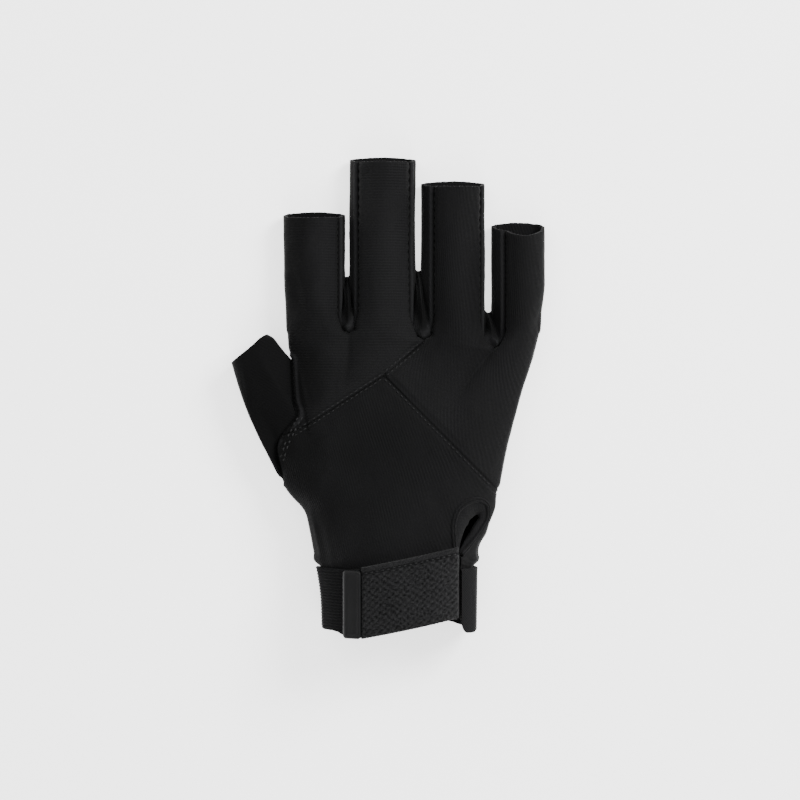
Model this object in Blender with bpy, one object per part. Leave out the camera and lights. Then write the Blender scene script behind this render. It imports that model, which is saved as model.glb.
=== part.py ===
# A cut-finger water sports glove for the right hand, lying palm down with its back up.
# X runs from the thumb side to the little finger, Y from the wrist to the fingertips, Z up.
# Every panel is a wall of stretch cloth between one shared outer skin and the same skin moved inwards.

import math

import bmesh
import bpy
from mathutils import Vector

# The hand, in metres
HAND_LENGTH = 0.1184      # wrist edge to the finger webs on the back
HAND_WIDTH = 0.1010       # across the knuckles
HAND_HEIGHT = 0.0270      # palm to back, middle of the hand
KNUCKLE_HEIGHT = 0.0225
WRIST_WIDTH = 0.0624      # over the wrist band
WRIST_HEIGHT = 0.0335
HEM_INSET = 0.0060        # the body's hem hides this far inside the wrist edge

# The fingers and the thumb
FINGER_REACH = 0.0700     # middle finger, from the web on the back to its cut end
FINGER_HEIGHT = 0.0155
FINGER_GAP = 0.0013
FINGER_SPREAD = 0.5       # share of its length in which an outer finger leaves the hand's outline
TIP_ARCH = 0.0008         # the cut ends bow out this much in the middle
WEB_SLOPE = 0.0228        # the web runs this far up from the back to the palm
RIM_STEP = 0.0018         # the palm's rim stands this far past the back's
THUMB_WIDTH = 0.0174
THUMB_HEIGHT = 0.0150
THUMB_REACH = 0.0320      # middle of the thumb hole to the middle of the cut end
THUMB_LEAN = 26.2         # degrees out from the fingers
THUMB_CUT = 38.0          # degrees, the slant of the cut end
THUMB_LIFT = 0.0008
THUMB_SWELL = 0.0022      # the sleeve bows outwards this much halfway
THUMB_CROWN = 0.0015      # and upwards this much

# Cloth and seams
CLOTH_WALL = 0.0018
SEAM_GAP = 0.0003
SEAM_INSET = 0.0032       # a finger's back seam lies this far inside its outline
SIDE_INSET = 0.0010
PALM_INSET = 0.0018
EDGE_LIFT = 0.0014        # the palm's edge curls up this much
SEAM_RISE = 0.62          # height of a finger's back seam, share of the finger's height
SIDE_RISE = 0.42          # height of the hand's side seam, share of the hand's height
KNUCKLE_LOBE = 0.70       # how far the fingers' roundness reaches into the knuckle row

# Wrist band, strap and tab
CUFF_HEIGHT = 0.0264
CUFF_WALL = 0.0020
CUFF_GAP = 0.0004
PINCH_START = 0.93        # the band draws the body in up to here, share of CUFF_HEIGHT
PINCH_RUN = 0.0054        # and the body swells out again over this length
BAND_CLEAR = 0.0045       # the last free row of cloth lies this far above that
STRAP_LENGTH = 0.0382
STRAP_WIDTH = 0.0260
STRAP_RISE = 0.0073       # the strap climbs this much towards the slit
STRAP_DROP = 0.0010       # its low corner hangs this far past the wrist edge
STRAP_THICK = 0.0020
TAB_WIDTH = 0.0072
TAB_LENGTH = 0.0266
TAB_THICK = 0.0027
TAB_CORNER = 0.0014

# Keyhole vent and the slit below it
SLIT_X = 0.381 * WRIST_WIDTH   # from the middle of the wrist towards the little finger
SLIT_WIDTH = 0.0012
KEYHOLE_LENGTH = 0.0212
KEYHOLE_WIDTH = 0.0140
KEYHOLE_FOOT = 0.0320     # its narrow end, above the wrist edge
BINDING_RADIUS = 0.0012
BINDING_SINK = 0.0005     # the binding's middle lies this far under the cloth's face
VENT_CLEARANCE = 0.0004
VENT_DEPTH = 0.0080       # the cut's reach to both sides of the cloth

# The three-way seam on the back, as shares of HAND_WIDTH and HAND_LENGTH
SEAM_MEET_X = -0.060
SEAM_MEET_Y = 0.858

# The hand's outline. along: share of HAND_LENGTH above the wrist edge.
# spread: 0 is WRIST_WIDTH, 1 is HAND_WIDTH. lean: middle line, share of HAND_WIDTH.
# arch: 0 is WRIST_HEIGHT, 1 is HAND_HEIGHT. drop: 1 is KNUCKLE_HEIGHT.
HAND_ROWS = [
    # along, spread, lean, arch, drop
    (0.000, 0.00, 0.000, 0.00, 0.00),
    (0.120, 0.02, -0.002, 0.00, 0.00),
    (0.220, 0.07, -0.010, 0.02, 0.00),
    (0.290, 0.11, -0.017, 0.12, 0.00),
    (0.355, 0.25, -0.005, 0.32, 0.00),
    (0.410, 0.38, 0.001, 0.52, 0.00),
    (0.463, 0.55, -0.025, 0.72, 0.00),
    (0.500, 0.65, -0.028, 0.86, 0.00),
    (0.570, 0.68, -0.020, 1.00, 0.00),
    (0.650, 0.72, -0.008, 1.00, 0.05),
    (0.730, 0.78, 0.006, 1.00, 0.20),
    (0.810, 0.84, 0.020, 1.00, 0.45),
    (0.900, 0.92, 0.040, 1.00, 0.75),
    (1.000, 1.00, 0.056, 1.00, 1.00),
]

# The rows of cloth above the wrist band. left, right: shares of the way from the band's free row of
# cloth up to HAND_LENGTH, at the thumb side's and the outer edge. inset: share of THUMB_WIDTH in from
# the outline at the thumb side.
# middle: share of the way from the seams' meeting point down to the wrist band.
CLOTH_ROWS = [
    # left, inset, middle, right
    (1.000, 0.00, 0.00, 1.000),
    (0.939, 0.00, 0.00, 0.877),
    (0.876, 0.08, 0.00, 0.755),
    (0.772, 0.13, 0.00, 0.630),
    (0.667, 0.19, 0.00, 0.508),
    (0.605, 0.29, 0.00, 0.384),
    (0.513, 0.10, 0.00, 0.261),
    (0.443, -0.07, 0.16, 0.217),
    (0.361, -0.05, 0.33, 0.171),
    (0.291, 0.00, 0.50, 0.124),
    (0.189, 0.00, 0.67, 0.078),
    (0.083, 0.00, 0.84, 0.031),
]
THUMB_HOLE_TOP = 2        # rows of the table above between which the thumb opens
SEAM_ROW = 6              # the row that carries the two long seams
THUMB_HOLE_FOOT = 9

# Fingers, from the thumb side. reach: share of FINGER_REACH. height: share of FINGER_HEIGHT.
# seam_left, seam_right: shares of SEAM_INSET. rim: share of RIM_STEP.
FINGERS = [
    # reach, height, seam_left, seam_right, rim
    (0.686, 1.00, 0.30, 0.80, 1.0),
    (1.000, 1.03, 1.20, 0.80, 1.0),
    (0.863, 1.00, 1.70, 0.60, 1.0),
    (0.625, 0.92, 1.80, 0.30, 1.6),
]
FINGER_OUTER_LEFT = -0.460   # outer edges of the first and the last finger, shares of HAND_WIDTH
FINGER_OUTER_RIGHT = 0.580

# Webs between the fingers, from the thumb side. x_gap, x_back: shares of HAND_WIDTH.
# gap: share of FINGER_GAP. back_drop, palm_rise: shares of WEB_SLOPE.
WEBS = [
    # name, x_gap, x_back, gap, back_drop, palm_rise
    ("fourchette_index_middle", -0.207, -0.196, 0.8, 0.00, 1.00),
    ("fourchette_middle_ring", 0.075, 0.100, 1.0, 0.14, 1.10),
    ("fourchette_ring_little", 0.352, 0.376, 1.4, 0.26, 0.37),
]

# The wrist band's two edges. around: share of the way from the slit over the outer side, the palm
# and the thumb side back to the slit. low, high: shares of CUFF_HEIGHT above the wrist edge.
CUFF_EDGES = [
    # around, low, high
    (0.00, 0.01, 0.97),
    (0.14, 0.02, 0.97),
    (0.24, 0.16, 0.92),
    (0.48, 0.16, 0.92),
    (0.57, 0.05, 0.98),
    (0.66, 0.05, 0.98),
    (0.74, -0.03, 0.98),
    (1.00, 0.20, 1.20),
]

# The binding's route round the vent. across: share of KEYHOLE_WIDTH from the slit.
# up: share of KEYHOLE_LENGTH above the vent's narrow end.
KEYHOLE_ROUTE = [
    # across, up
    (-0.13, 0.00),
    (-0.17, 0.28),
    (-0.17, 0.55),
    (-0.04, 0.79),
    (0.24, 0.93),
    (0.55, 0.97),
    (0.80, 0.86),
    (0.80, 0.62),
    (0.58, 0.36),
    (0.33, 0.14),
    (0.15, 0.00),
]

# How finely the skin is divided
BACK_COLUMNS = 6          # across one finger's back
PALM_COLUMNS = 4          # across one finger's underside
SIDE_COLUMNS = 3          # from the back seam down to the palm seam
FINGER_SHARES = (0.12, 0.35, 0.62, 0.85, 1.0)
THUMB_SHARES = (0.25, 0.5, 0.75, 1.0)
CUFF_OUTER_COLUMNS = 4    # slit to the outer side
CUFF_THUMB_COLUMNS = 15   # thumb side to the slit
BAND_LOW_ROWS = 2         # of the band and the strap, where the body is drawn in
BAND_HIGH_ROWS = 3        # where it swells out
STRAP_COLUMNS = 12
TAB_COLUMNS = 3
TAB_ROW_SHARES = (0.0, 0.02, 0.05, 0.5, 0.95, 0.98, 1.0)
BINDING_STEPS = 3         # between two points of its route
BINDING_SIDES = 8

PANELS = ["back_upper_panel", "back_outer_panel", "back_lower_panel", "palm_panel", "thumb_sleeve"]
PANELS += [web[0] for web in WEBS]

CLOTH_DARK = ((0.012, 0.012, 0.012), 0.78)
CLOTH_THUMB = ((0.008, 0.008, 0.008), 0.80)
BAND_WEAVE = ((0.020, 0.020, 0.021), 0.88)
TAB_RUBBER = ((0.026, 0.026, 0.027), 0.48)


def mix(a, b, share):
    return a + (b - a) * share


def ease(share):
    share = min(max(share, 0.0), 1.0)
    return share * share * (3.0 - 2.0 * share)


def along_table(table, column, at):
    """A column of a table whose first column rises, read on a smooth curve through its rows."""
    if at <= table[0][0]:
        return table[0][column]
    if at >= table[-1][0]:
        return table[-1][column]
    i = next(n for n in range(len(table) - 1) if table[n + 1][0] >= at)
    before, after = table[max(i - 1, 0)], table[min(i + 2, len(table) - 1)]
    left, right = table[i], table[i + 1]
    width = right[0] - left[0]
    slope_left = (right[column] - before[column]) / (right[0] - before[0])
    slope_right = (after[column] - left[column]) / (after[0] - left[0])
    t = (at - left[0]) / width
    return (
        (2 * t**3 - 3 * t**2 + 1) * left[column]
        + (t**3 - 2 * t**2 + t) * width * slope_left
        + (3 * t**2 - 2 * t**3) * right[column]
        + (t**3 - t**2) * width * slope_right
    )


def pinch(y):
    """How far the wrist band draws in the body's sides and underside at a height y."""
    return (CUFF_WALL + CUFF_GAP) * (1.0 - ease((y - PINCH_START * CUFF_HEIGHT) / PINCH_RUN))


def outline(y):
    """The hand's left and right edge at a height y above the wrist edge."""
    along = y / HAND_LENGTH
    width = mix(WRIST_WIDTH, HAND_WIDTH, along_table(HAND_ROWS, 1, along)) - 2 * pinch(y)
    middle = HAND_WIDTH * along_table(HAND_ROWS, 2, along)
    return middle - width / 2, middle + width / 2


def floor_height(y):
    """The body's underside: flat on the ground, and raised where the wrist band runs under it."""
    return pinch(y - (1.0 - PINCH_START) * CUFF_HEIGHT)


def crown_height(y):
    along = y / HAND_LENGTH
    body = mix(WRIST_HEIGHT, HAND_HEIGHT, along_table(HAND_ROWS, 3, along))
    return mix(body, KNUCKLE_HEIGHT, along_table(HAND_ROWS, 4, along))


def side_height(y):
    return mix(floor_height(y), crown_height(y), SIDE_RISE)


def hand_back_height(x, y):
    left, right = outline(y)
    across = min(max((x - left) / (right - left), 0.0), 1.0)
    swell = (1.0 - abs(2.0 * across - 1.0) ** 2.5) ** 0.8
    return mix(side_height(y), crown_height(y), swell)


def on_back(x, y):
    return Vector((x, y, hand_back_height(x, y)))


def back_normal(x, y):
    """The direction that points straight out of the hand's back."""
    step = 0.0005
    run_x = on_back(x + step, y) - on_back(x - step, y)
    run_y = on_back(x, y + step) - on_back(x, y - step)
    return run_x.cross(run_y).normalized()


def side_points(edge, outward, y_back, y_palm, inset_back, z_back, z_palm):
    """Points from a back seam round the side down to the palm seam, bulging out to the edge."""
    points = []
    for k in range(SIDE_COLUMNS + 1):
        down = k / SIDE_COLUMNS
        inset = inset_back * (1.0 - down) ** 2.5 + PALM_INSET * down**5
        z = mix(z_back, z_palm, down)
        points.append(Vector((edge - outward * inset, mix(y_back, y_palm, down), z)))
    return points


class Skin:
    """The glove's outer surface: points, and faces that each belong to a panel."""

    def __init__(self):
        self.points = []
        self.faces = []

    def add(self, point):
        self.points.append(Vector(point))
        return len(self.points) - 1

    def add_row(self, points):
        return [self.add(point) for point in points]

    def join(self, panel, first, second):
        for i in range(len(first) - 1):
            corners = (first[i], first[i + 1], second[i + 1], second[i])
            if len(set(corners)) > 2:
                self.faces.append((panel, tuple(dict.fromkeys(corners))))

    def as_bmesh(self):
        mesh = bmesh.new()
        verts = [mesh.verts.new(point) for point in self.points]
        for panel, corners in self.faces:
            face = mesh.faces.new([verts[i] for i in corners])
            face.material_index = PANELS.index(panel)
        bmesh.ops.recalc_face_normals(mesh, faces=mesh.faces)
        top = max(mesh.faces, key=lambda face: face.calc_center_median().z)
        if top.normal.z < 0.0:
            bmesh.ops.reverse_faces(mesh, faces=mesh.faces)
        mesh.normal_update()
        mesh.verts.index_update()
        return mesh


def web_spots():
    """Where each web meets the back seam and the palm seam."""
    spots = []
    for _, x_gap, x_back, _, back_drop, palm_rise in WEBS:
        y_back = HAND_LENGTH - back_drop * WEB_SLOPE
        y_palm = HAND_LENGTH + palm_rise * WEB_SLOPE
        spots.append((Vector((x_back * HAND_WIDTH, y_back, 0.0)), Vector((x_gap * HAND_WIDTH, y_palm, 0.0))))
    return spots


def finger_span(index, share):
    """A finger's left and right edge, half a finger gap from the middle of each web."""
    hand_left, hand_right = outline(HAND_LENGTH)
    spread = ease(share / FINGER_SPREAD)
    left = mix(hand_left, FINGER_OUTER_LEFT * HAND_WIDTH, spread)
    right = mix(hand_right, FINGER_OUTER_RIGHT * HAND_WIDTH, spread)
    if index > 0:
        left = WEBS[index - 1][1] * HAND_WIDTH + WEBS[index - 1][3] * FINGER_GAP / 2
    if index < len(WEBS):
        right = WEBS[index][1] * HAND_WIDTH - WEBS[index][3] * FINGER_GAP / 2
    return left, right


def finger_height(index, share):
    return FINGER_HEIGHT * FINGERS[index][1] * (1.06 - 0.10 * share)


def finger_back_height(index, share, across):
    height = finger_height(index, share)
    return mix(SEAM_RISE * height, height, math.sin(math.pi * across) ** 0.8)


def band_rows():
    """The rows of cloth from just above the wrist band down to the hem, as heights."""
    start = PINCH_START * CUFF_HEIGHT
    swell = start + PINCH_RUN
    steps = [start + PINCH_RUN * share for share in (0.7, 0.35)]
    return [swell + BAND_CLEAR, swell] + steps + [start, start / 2, HEM_INSET]


def row_height(share):
    """A share of CLOTH_ROWS as a height above the wrist edge."""
    return mix(band_rows()[0], HAND_LENGTH, share)


def edge_rows():
    """Left edge, middle and right edge of every row of cloth on the back, as plan points."""
    band = band_rows()
    web = web_spots()[1][0]
    meet = Vector((SEAM_MEET_X * HAND_WIDTH, SEAM_MEET_Y * HAND_LENGTH, 0.0))
    wrist = Vector((sum(outline(band[0])) / 2, band[0], 0.0))
    rows = []
    for row, (left_share, inset, middle_share, right_share) in enumerate(CLOTH_ROWS):
        y_left, y_right = row_height(left_share), row_height(right_share)
        left = Vector((outline(y_left)[0] + SIDE_INSET + inset * THUMB_WIDTH, y_left, 0.0))
        right = Vector((outline(y_right)[1] - SIDE_INSET, y_right, 0.0))
        above = web.lerp(meet, min(row / SEAM_ROW, 1.0))
        rows.append((left, above.lerp(wrist, middle_share), right))
    for y in band:
        left, right = outline(y)
        ends = Vector((left + SIDE_INSET, y, 0.0)), Vector((right - SIDE_INSET, y, 0.0))
        rows.append((ends[0], ends[0].lerp(ends[1], 0.5), ends[1]))
    return rows


def plan_row(left, middle, right, columns):
    """Evenly spaced plan points from left to middle to right."""
    half = columns // 2
    points = [left.lerp(middle, c / half) for c in range(half)]
    return points + [middle.lerp(right, c / half) for c in range(half + 1)]


def bent_to_webs(rows, spots, columns):
    """Rows of plan points whose first row is bent to pass through the webs, fading further down."""
    first = rows[0]
    step = columns // 4
    stops = [first[0]] + spots + [first[-1]]
    bends = []
    for c in range(columns + 1):
        part = min(c // step, 3)
        target = stops[part].lerp(stops[part + 1], (c - part * step) / step)
        bends.append(target - first[c])
    bent = []
    for row, points in enumerate(rows):
        fade = max(1.0 - row / SEAM_ROW, 0.0) ** 2
        bent.append([point + bend * fade for point, bend in zip(points, bends)])
    return bent


def back_rows(edges):
    columns = 4 * BACK_COLUMNS
    plan = [plan_row(left, middle, right, columns) for left, middle, right in edges]
    plan = bent_to_webs(plan, [back for back, _ in web_spots()], columns)
    for row, points in enumerate(plan):
        lobes = KNUCKLE_LOBE * ease(1.0 - row / SEAM_ROW)
        for c, point in enumerate(points):
            finger = min(c // BACK_COLUMNS, 3)
            across = (c - finger * BACK_COLUMNS) / BACK_COLUMNS
            lobe = finger_back_height(finger, 0.0, across)
            point.z = mix(hand_back_height(point.x, point.y), lobe, lobes)
    return plan


def palm_rows(edges):
    columns = 4 * PALM_COLUMNS
    plan = []
    for left, _, right in edges:
        inward = PALM_INSET - SIDE_INSET
        start = Vector((left.x + inward, left.y, 0.0))
        end = Vector((right.x - inward, right.y, 0.0))
        plan.append(plan_row(start, start.lerp(end, 0.5), end, columns))
    plan = bent_to_webs(plan, [palm for _, palm in web_spots()], columns)
    for row, points in enumerate(plan):
        for c, point in enumerate(points):
            at_edge = c in (0, columns) or (row == 0 and c % PALM_COLUMNS == 0)
            point.z = floor_height(point.y) + (EDGE_LIFT if at_edge else 0.0)
    return plan


def add_hand(skin):
    """Back, palm and side strips of the hand. Returns what the fingers and the thumb grow from."""
    edges = edge_rows()
    back = [skin.add_row(points) for points in back_rows(edges)]
    palm = [skin.add_row(points) for points in palm_rows(edges)]
    sides = {"left": [], "right": []}
    for row in range(len(edges)):
        for name, at, outward in (("left", 0, -1), ("right", -1, 1)):
            top, low = skin.points[back[row][at]], skin.points[palm[row][at]]
            edge = top.x + outward * SIDE_INSET
            points = side_points(edge, outward, top.y, low.y, SIDE_INSET, top.z, low.z)
            in_hole = name == "left" and THUMB_HOLE_TOP < row < THUMB_HOLE_FOOT
            inner = [] if in_hole else skin.add_row(points[1:-1])
            sides[name].append([back[row][at]] + inner + [palm[row][at]])
    half = 2 * BACK_COLUMNS
    for row in range(len(edges) - 1):
        if row < SEAM_ROW:
            skin.join("back_upper_panel", back[row][: half + 1], back[row + 1][: half + 1])
            skin.join("back_outer_panel", back[row][half:], back[row + 1][half:])
        else:
            skin.join("back_lower_panel", back[row], back[row + 1])
        skin.join("palm_panel", palm[row], palm[row + 1])
        outer_panel = "back_outer_panel" if row < SEAM_ROW else "back_lower_panel"
        skin.join(outer_panel, sides["right"][row], sides["right"][row + 1])
        if row < THUMB_HOLE_TOP:
            skin.join("back_upper_panel", sides["left"][row], sides["left"][row + 1])
        elif row >= THUMB_HOLE_FOOT:
            skin.join("back_lower_panel", sides["left"][row], sides["left"][row + 1])
    return back, palm, sides


def finger_ring(index, share, base):
    """A finger's section: back, underside and two sides, at a share of its length."""
    reach, _, seam_left, seam_right, rim = FINGERS[index]
    left, right = finger_span(index, share)
    height = finger_height(index, share)
    tip_palm = HAND_LENGTH + reach * FINGER_REACH
    tip_back = tip_palm - rim * RIM_STEP
    z_seam = SEAM_RISE * height
    back_left = left + seam_left * SEAM_INSET
    back_right = right - seam_right * SEAM_INSET
    top = []
    for c in range(BACK_COLUMNS + 1):
        across = c / BACK_COLUMNS
        arch = TIP_ARCH * math.sin(math.pi * across)
        y = mix(base["top"][c].y, tip_back + arch, share)
        top.append(Vector((mix(back_left, back_right, across), y, finger_back_height(index, share, across))))
    low = []
    for c in range(PALM_COLUMNS + 1):
        across = c / PALM_COLUMNS
        arch = TIP_ARCH * math.sin(math.pi * across)
        y = mix(base["low"][c].y, tip_palm + arch, share)
        z = EDGE_LIFT if c in (0, PALM_COLUMNS) else 0.0
        low.append(Vector((mix(left + PALM_INSET, right - PALM_INSET, across), y, z)))
    sides = []
    for edge, outward, at, seam in ((left, -1, 0, seam_left), (right, 1, -1, seam_right)):
        inset = seam * SEAM_INSET
        sides.append(side_points(edge, outward, top[at].y, low[at].y, inset, z_seam, EDGE_LIFT))
    return top, low, sides[0], sides[1]


def web_curve(back, palm):
    """Points between a web's two ends: it rises steeply from the palm and levels out at the back."""
    points = []
    for k in range(1, SIDE_COLUMNS):
        angle = math.pi / 2 * (1.0 - k / SIDE_COLUMNS)
        share = Vector((1.0 - math.cos(angle), 1.0 - math.cos(angle), math.sin(angle)))
        points.append(palm + (back - palm) * share)
    return points


def add_fingers(skin, back, palm, sides):
    webs = []
    for i in range(len(WEBS)):
        top = back[0][BACK_COLUMNS * (i + 1)]
        low = palm[0][PALM_COLUMNS * (i + 1)]
        webs.append([top] + skin.add_row(web_curve(skin.points[top], skin.points[low])) + [low])
    for index in range(len(FINGERS)):
        top = back[0][BACK_COLUMNS * index : BACK_COLUMNS * (index + 1) + 1]
        low = palm[0][PALM_COLUMNS * index : PALM_COLUMNS * (index + 1) + 1]
        left = webs[index - 1] if index > 0 else sides["left"][0]
        right = webs[index] if index < len(WEBS) else sides["right"][0]
        base = {"top": [skin.points[i] for i in top], "low": [skin.points[i] for i in low]}
        back_panel = "back_upper_panel" if index < 2 else "back_outer_panel"
        left_panel = WEBS[index - 1][0] if index > 0 else "back_upper_panel"
        right_panel = WEBS[index][0] if index < len(WEBS) else "back_outer_panel"
        for share in FINGER_SHARES:
            ring_top, ring_low, ring_left, ring_right = finger_ring(index, share, base)
            new_top = skin.add_row(ring_top)
            new_low = skin.add_row(ring_low)
            new_left = [new_top[0]] + skin.add_row(ring_left[1:-1]) + [new_low[0]]
            new_right = [new_top[-1]] + skin.add_row(ring_right[1:-1]) + [new_low[-1]]
            skin.join(back_panel, new_top, top)
            skin.join("palm_panel", new_low, low)
            skin.join(left_panel, new_left, left)
            skin.join(right_panel, new_right, right)
            top, low, left, right = new_top, new_low, new_left, new_right


def thumb_end_ring(count_long, count_side):
    """The thumb's cut end: over the top from the hand's side outwards, and back underneath."""
    lean, cut = math.radians(THUMB_LEAN), math.radians(THUMB_CUT)
    hole_y = row_height((CLOTH_ROWS[THUMB_HOLE_TOP][0] + CLOTH_ROWS[THUMB_HOLE_FOOT][0]) / 2)
    hole_x = outline(hole_y)[0]
    middle = Vector((hole_x - THUMB_REACH * math.sin(lean), hole_y + THUMB_REACH * math.cos(lean), 0.0))
    across = Vector((math.cos(cut), math.sin(cut), 0.0))
    stops = [(18.0, 162.0, count_long), (162.0, 206.0, count_side)]
    stops += [(206.0, 334.0, count_long), (334.0, 378.0, count_side)]
    ring = []
    for start, end, count in stops:
        for i in range(count):
            angle = math.radians(mix(start, end, i / count))
            side = math.copysign(abs(math.cos(angle)) ** 0.85, math.cos(angle))
            rise = math.copysign(abs(math.sin(angle)) ** 0.85, math.sin(angle))
            z = THUMB_LIFT + THUMB_HEIGHT / 2 * (1.0 + rise)
            ring.append(middle + across * (side * THUMB_WIDTH / 2) + Vector((0.0, 0.0, z)))
    return ring


def add_thumb(skin, back, palm, sides):
    rows = range(THUMB_HOLE_TOP, THUMB_HOLE_FOOT + 1)
    loop = [back[row][0] for row in rows]
    loop += sides["left"][THUMB_HOLE_FOOT][1:-1]
    loop += [palm[row][0] for row in reversed(rows)]
    loop += list(reversed(sides["left"][THUMB_HOLE_TOP][1:-1]))
    end = thumb_end_ring(THUMB_HOLE_FOOT - THUMB_HOLE_TOP, SIDE_COLUMNS)
    base = [skin.points[i] for i in loop]
    end_left = min(point.x for point in end)
    for share in THUMB_SHARES:
        ring = []
        for start, stop in zip(base, end):
            point = start.lerp(stop, share)
            bow = math.sin(math.pi * share)
            outer = 1.0 - ease((stop.x - end_left) / THUMB_WIDTH)
            point.x -= THUMB_SWELL * bow * outer
            point.z += THUMB_CROWN * bow * ease((start.z - EDGE_LIFT) / THUMB_HEIGHT * 2)
            ring.append(point)
        new = skin.add_row(ring)
        skin.join("thumb_sleeve", loop + loop[:1], new + new[:1])
        loop = new


def glove_skin():
    skin = Skin()
    back, palm, sides = add_hand(skin)
    add_fingers(skin, back, palm, sides)
    add_thumb(skin, back, palm, sides)
    return skin.as_bmesh()


def finish_object(name, mesh, look):
    """One object from a bmesh, with its own material and smooth shading."""
    bmesh.ops.recalc_face_normals(mesh, faces=mesh.faces)
    if mesh.calc_volume(signed=True) < 0.0:
        bmesh.ops.reverse_faces(mesh, faces=mesh.faces)
    data = bpy.data.meshes.new(name)
    mesh.to_mesh(data)
    mesh.free()
    data.shade_smooth()
    data.set_sharp_from_angle(angle=math.radians(50.0))
    color, roughness = look
    material = bpy.data.materials.new(name + "_material")
    material.use_nodes = True
    shader = material.node_tree.nodes["Principled BSDF"]
    shader.inputs["Base Color"].default_value = (*color, 1.0)
    shader.inputs["Roughness"].default_value = roughness
    shader.inputs["Metallic"].default_value = 0.0
    data.materials.append(material)
    made = bpy.data.objects.new(name, data)
    bpy.context.scene.collection.objects.link(made)
    return made


def seam_pulls(faces, own):
    """How far each seam point of a panel is drawn in, so that two panels leave the seam gap."""
    inward = {}
    for face in faces:
        for edge in face.edges:
            others = [other for other in edge.link_faces if other not in own]
            if not others:
                continue
            first, second = edge.verts
            run = second.co - first.co
            toward = face.calc_center_median() - (first.co + second.co) / 2
            for vert in (first, second):
                aside = vert.normal.cross(run).normalized()
                if aside.dot(toward) < 0.0:
                    aside.negate()
                inward.setdefault(vert, []).append(aside)
    pulls = {}
    for vert, directions in inward.items():
        total = sum(directions, Vector())
        reach = max(total.length / len(directions), 0.4)
        pulls[vert] = total.normalized() * (SEAM_GAP / 2 / reach)
    return pulls


def panel_wall(skin, name, look):
    """A panel as a closed wall: its piece of the skin, the same piece moved in, and the edges."""
    faces = [face for face in skin.faces if face.material_index == PANELS.index(name)]
    own = set(faces)
    pulls = seam_pulls(faces, own)
    mesh = bmesh.new()
    outer, inner = {}, {}
    for face in faces:
        for vert in face.verts:
            if vert not in outer:
                point = vert.co + pulls.get(vert, Vector())
                outer[vert] = mesh.verts.new(point)
                inner[vert] = mesh.verts.new(point - vert.normal * CLOTH_WALL)
    for face in faces:
        mesh.faces.new([outer[vert] for vert in face.verts])
        mesh.faces.new([inner[vert] for vert in reversed(face.verts)])
        for loop in face.loops:
            if sum(other in own for other in loop.edge.link_faces) == 1:
                start, end = loop.vert, loop.link_loop_next.vert
                # The same diagonal on both sides of a seam keeps the two walls parallel.
                if start.index < end.index:
                    mesh.faces.new([outer[end], outer[start], inner[end]])
                    mesh.faces.new([outer[start], inner[start], inner[end]])
                else:
                    mesh.faces.new([outer[end], outer[start], inner[start]])
                    mesh.faces.new([outer[end], inner[start], inner[end]])
    return finish_object(name, mesh, look)


def wrist_ring(y):
    """The body's section at y as points in X and Z: back, outer side, underside, thumb side."""
    left, right = outline(y)
    columns = 4 * BACK_COLUMNS
    ring = []
    for c in range(columns + 1):
        x = mix(left + SIDE_INSET, right - SIDE_INSET, c / columns)
        ring.append((x, hand_back_height(x, y)))
    floor = floor_height(y)
    z_back, z_palm = side_height(y), floor + EDGE_LIFT
    outer = side_points(right, 1, y, y, SIDE_INSET, z_back, z_palm)
    ring += [(point.x, point.z) for point in outer[1:]]
    columns = 4 * PALM_COLUMNS
    for c in range(1, columns):
        ring.append((mix(right - PALM_INSET, left + PALM_INSET, c / columns), floor))
    thumb = side_points(left, -1, y, y, SIDE_INSET, z_back, z_palm)
    ring += [(point.x, point.z) for point in reversed(thumb[1:])]
    return ring


def lifted(ring, distance):
    """A closed section moved outwards, so that each of its sides moves by the distance."""
    moved = []
    for i, (x, z) in enumerate(ring):
        before, after = ring[i - 1], ring[(i + 1) % len(ring)]
        normals = []
        for (x0, z0), (x1, z1) in ((before, (x, z)), ((x, z), after)):
            length = math.hypot(x1 - x0, z1 - z0)
            normals.append(((z0 - z1) / length, (x1 - x0) / length))
        total_x, total_z = normals[0][0] + normals[1][0], normals[0][1] + normals[1][1]
        size = total_x**2 + total_z**2
        moved.append((x + total_x * 2 * distance / size, z + total_z * 2 * distance / size))
    return moved


def height_on(line, x):
    """The height of a line of points at x, whose x rises."""
    i = next((n for n in range(len(line) - 2) if line[n + 1][0] >= x), len(line) - 2)
    (x0, z0), (x1, z1) = line[i], line[i + 1]
    return mix(z0, z1, (x - x0) / (x1 - x0))


def back_line(y, lift):
    return lifted(wrist_ring(y), lift)[: 4 * BACK_COLUMNS + 1]


def cuff_loop(y, lift):
    """The open band's section from the slit round the wrist and back to the slit."""
    ring = lifted(wrist_ring(y), lift)
    last = 4 * BACK_COLUMNS
    back, rest = ring[: last + 1], ring[last + 1 :]
    start, stop = SLIT_X + SLIT_WIDTH / 2, SLIT_X - SLIT_WIDTH / 2
    loop = []
    for c in range(CUFF_OUTER_COLUMNS + 1):
        x = mix(start, back[-1][0], c / CUFF_OUTER_COLUMNS)
        loop.append((x, height_on(back, x)))
    loop += rest
    for c in range(CUFF_THUMB_COLUMNS + 1):
        x = mix(back[0][0], stop, c / CUFF_THUMB_COLUMNS)
        loop.append((x, height_on(back, x)))
    return loop


def lengths_along(loop):
    """Each point's share of the loop's length."""
    runs = [0.0]
    for (x0, z0), (x1, z1) in zip(loop, loop[1:]):
        runs.append(runs[-1] + math.hypot(x1 - x0, z1 - z0))
    return [run / runs[-1] for run in runs]


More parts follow.
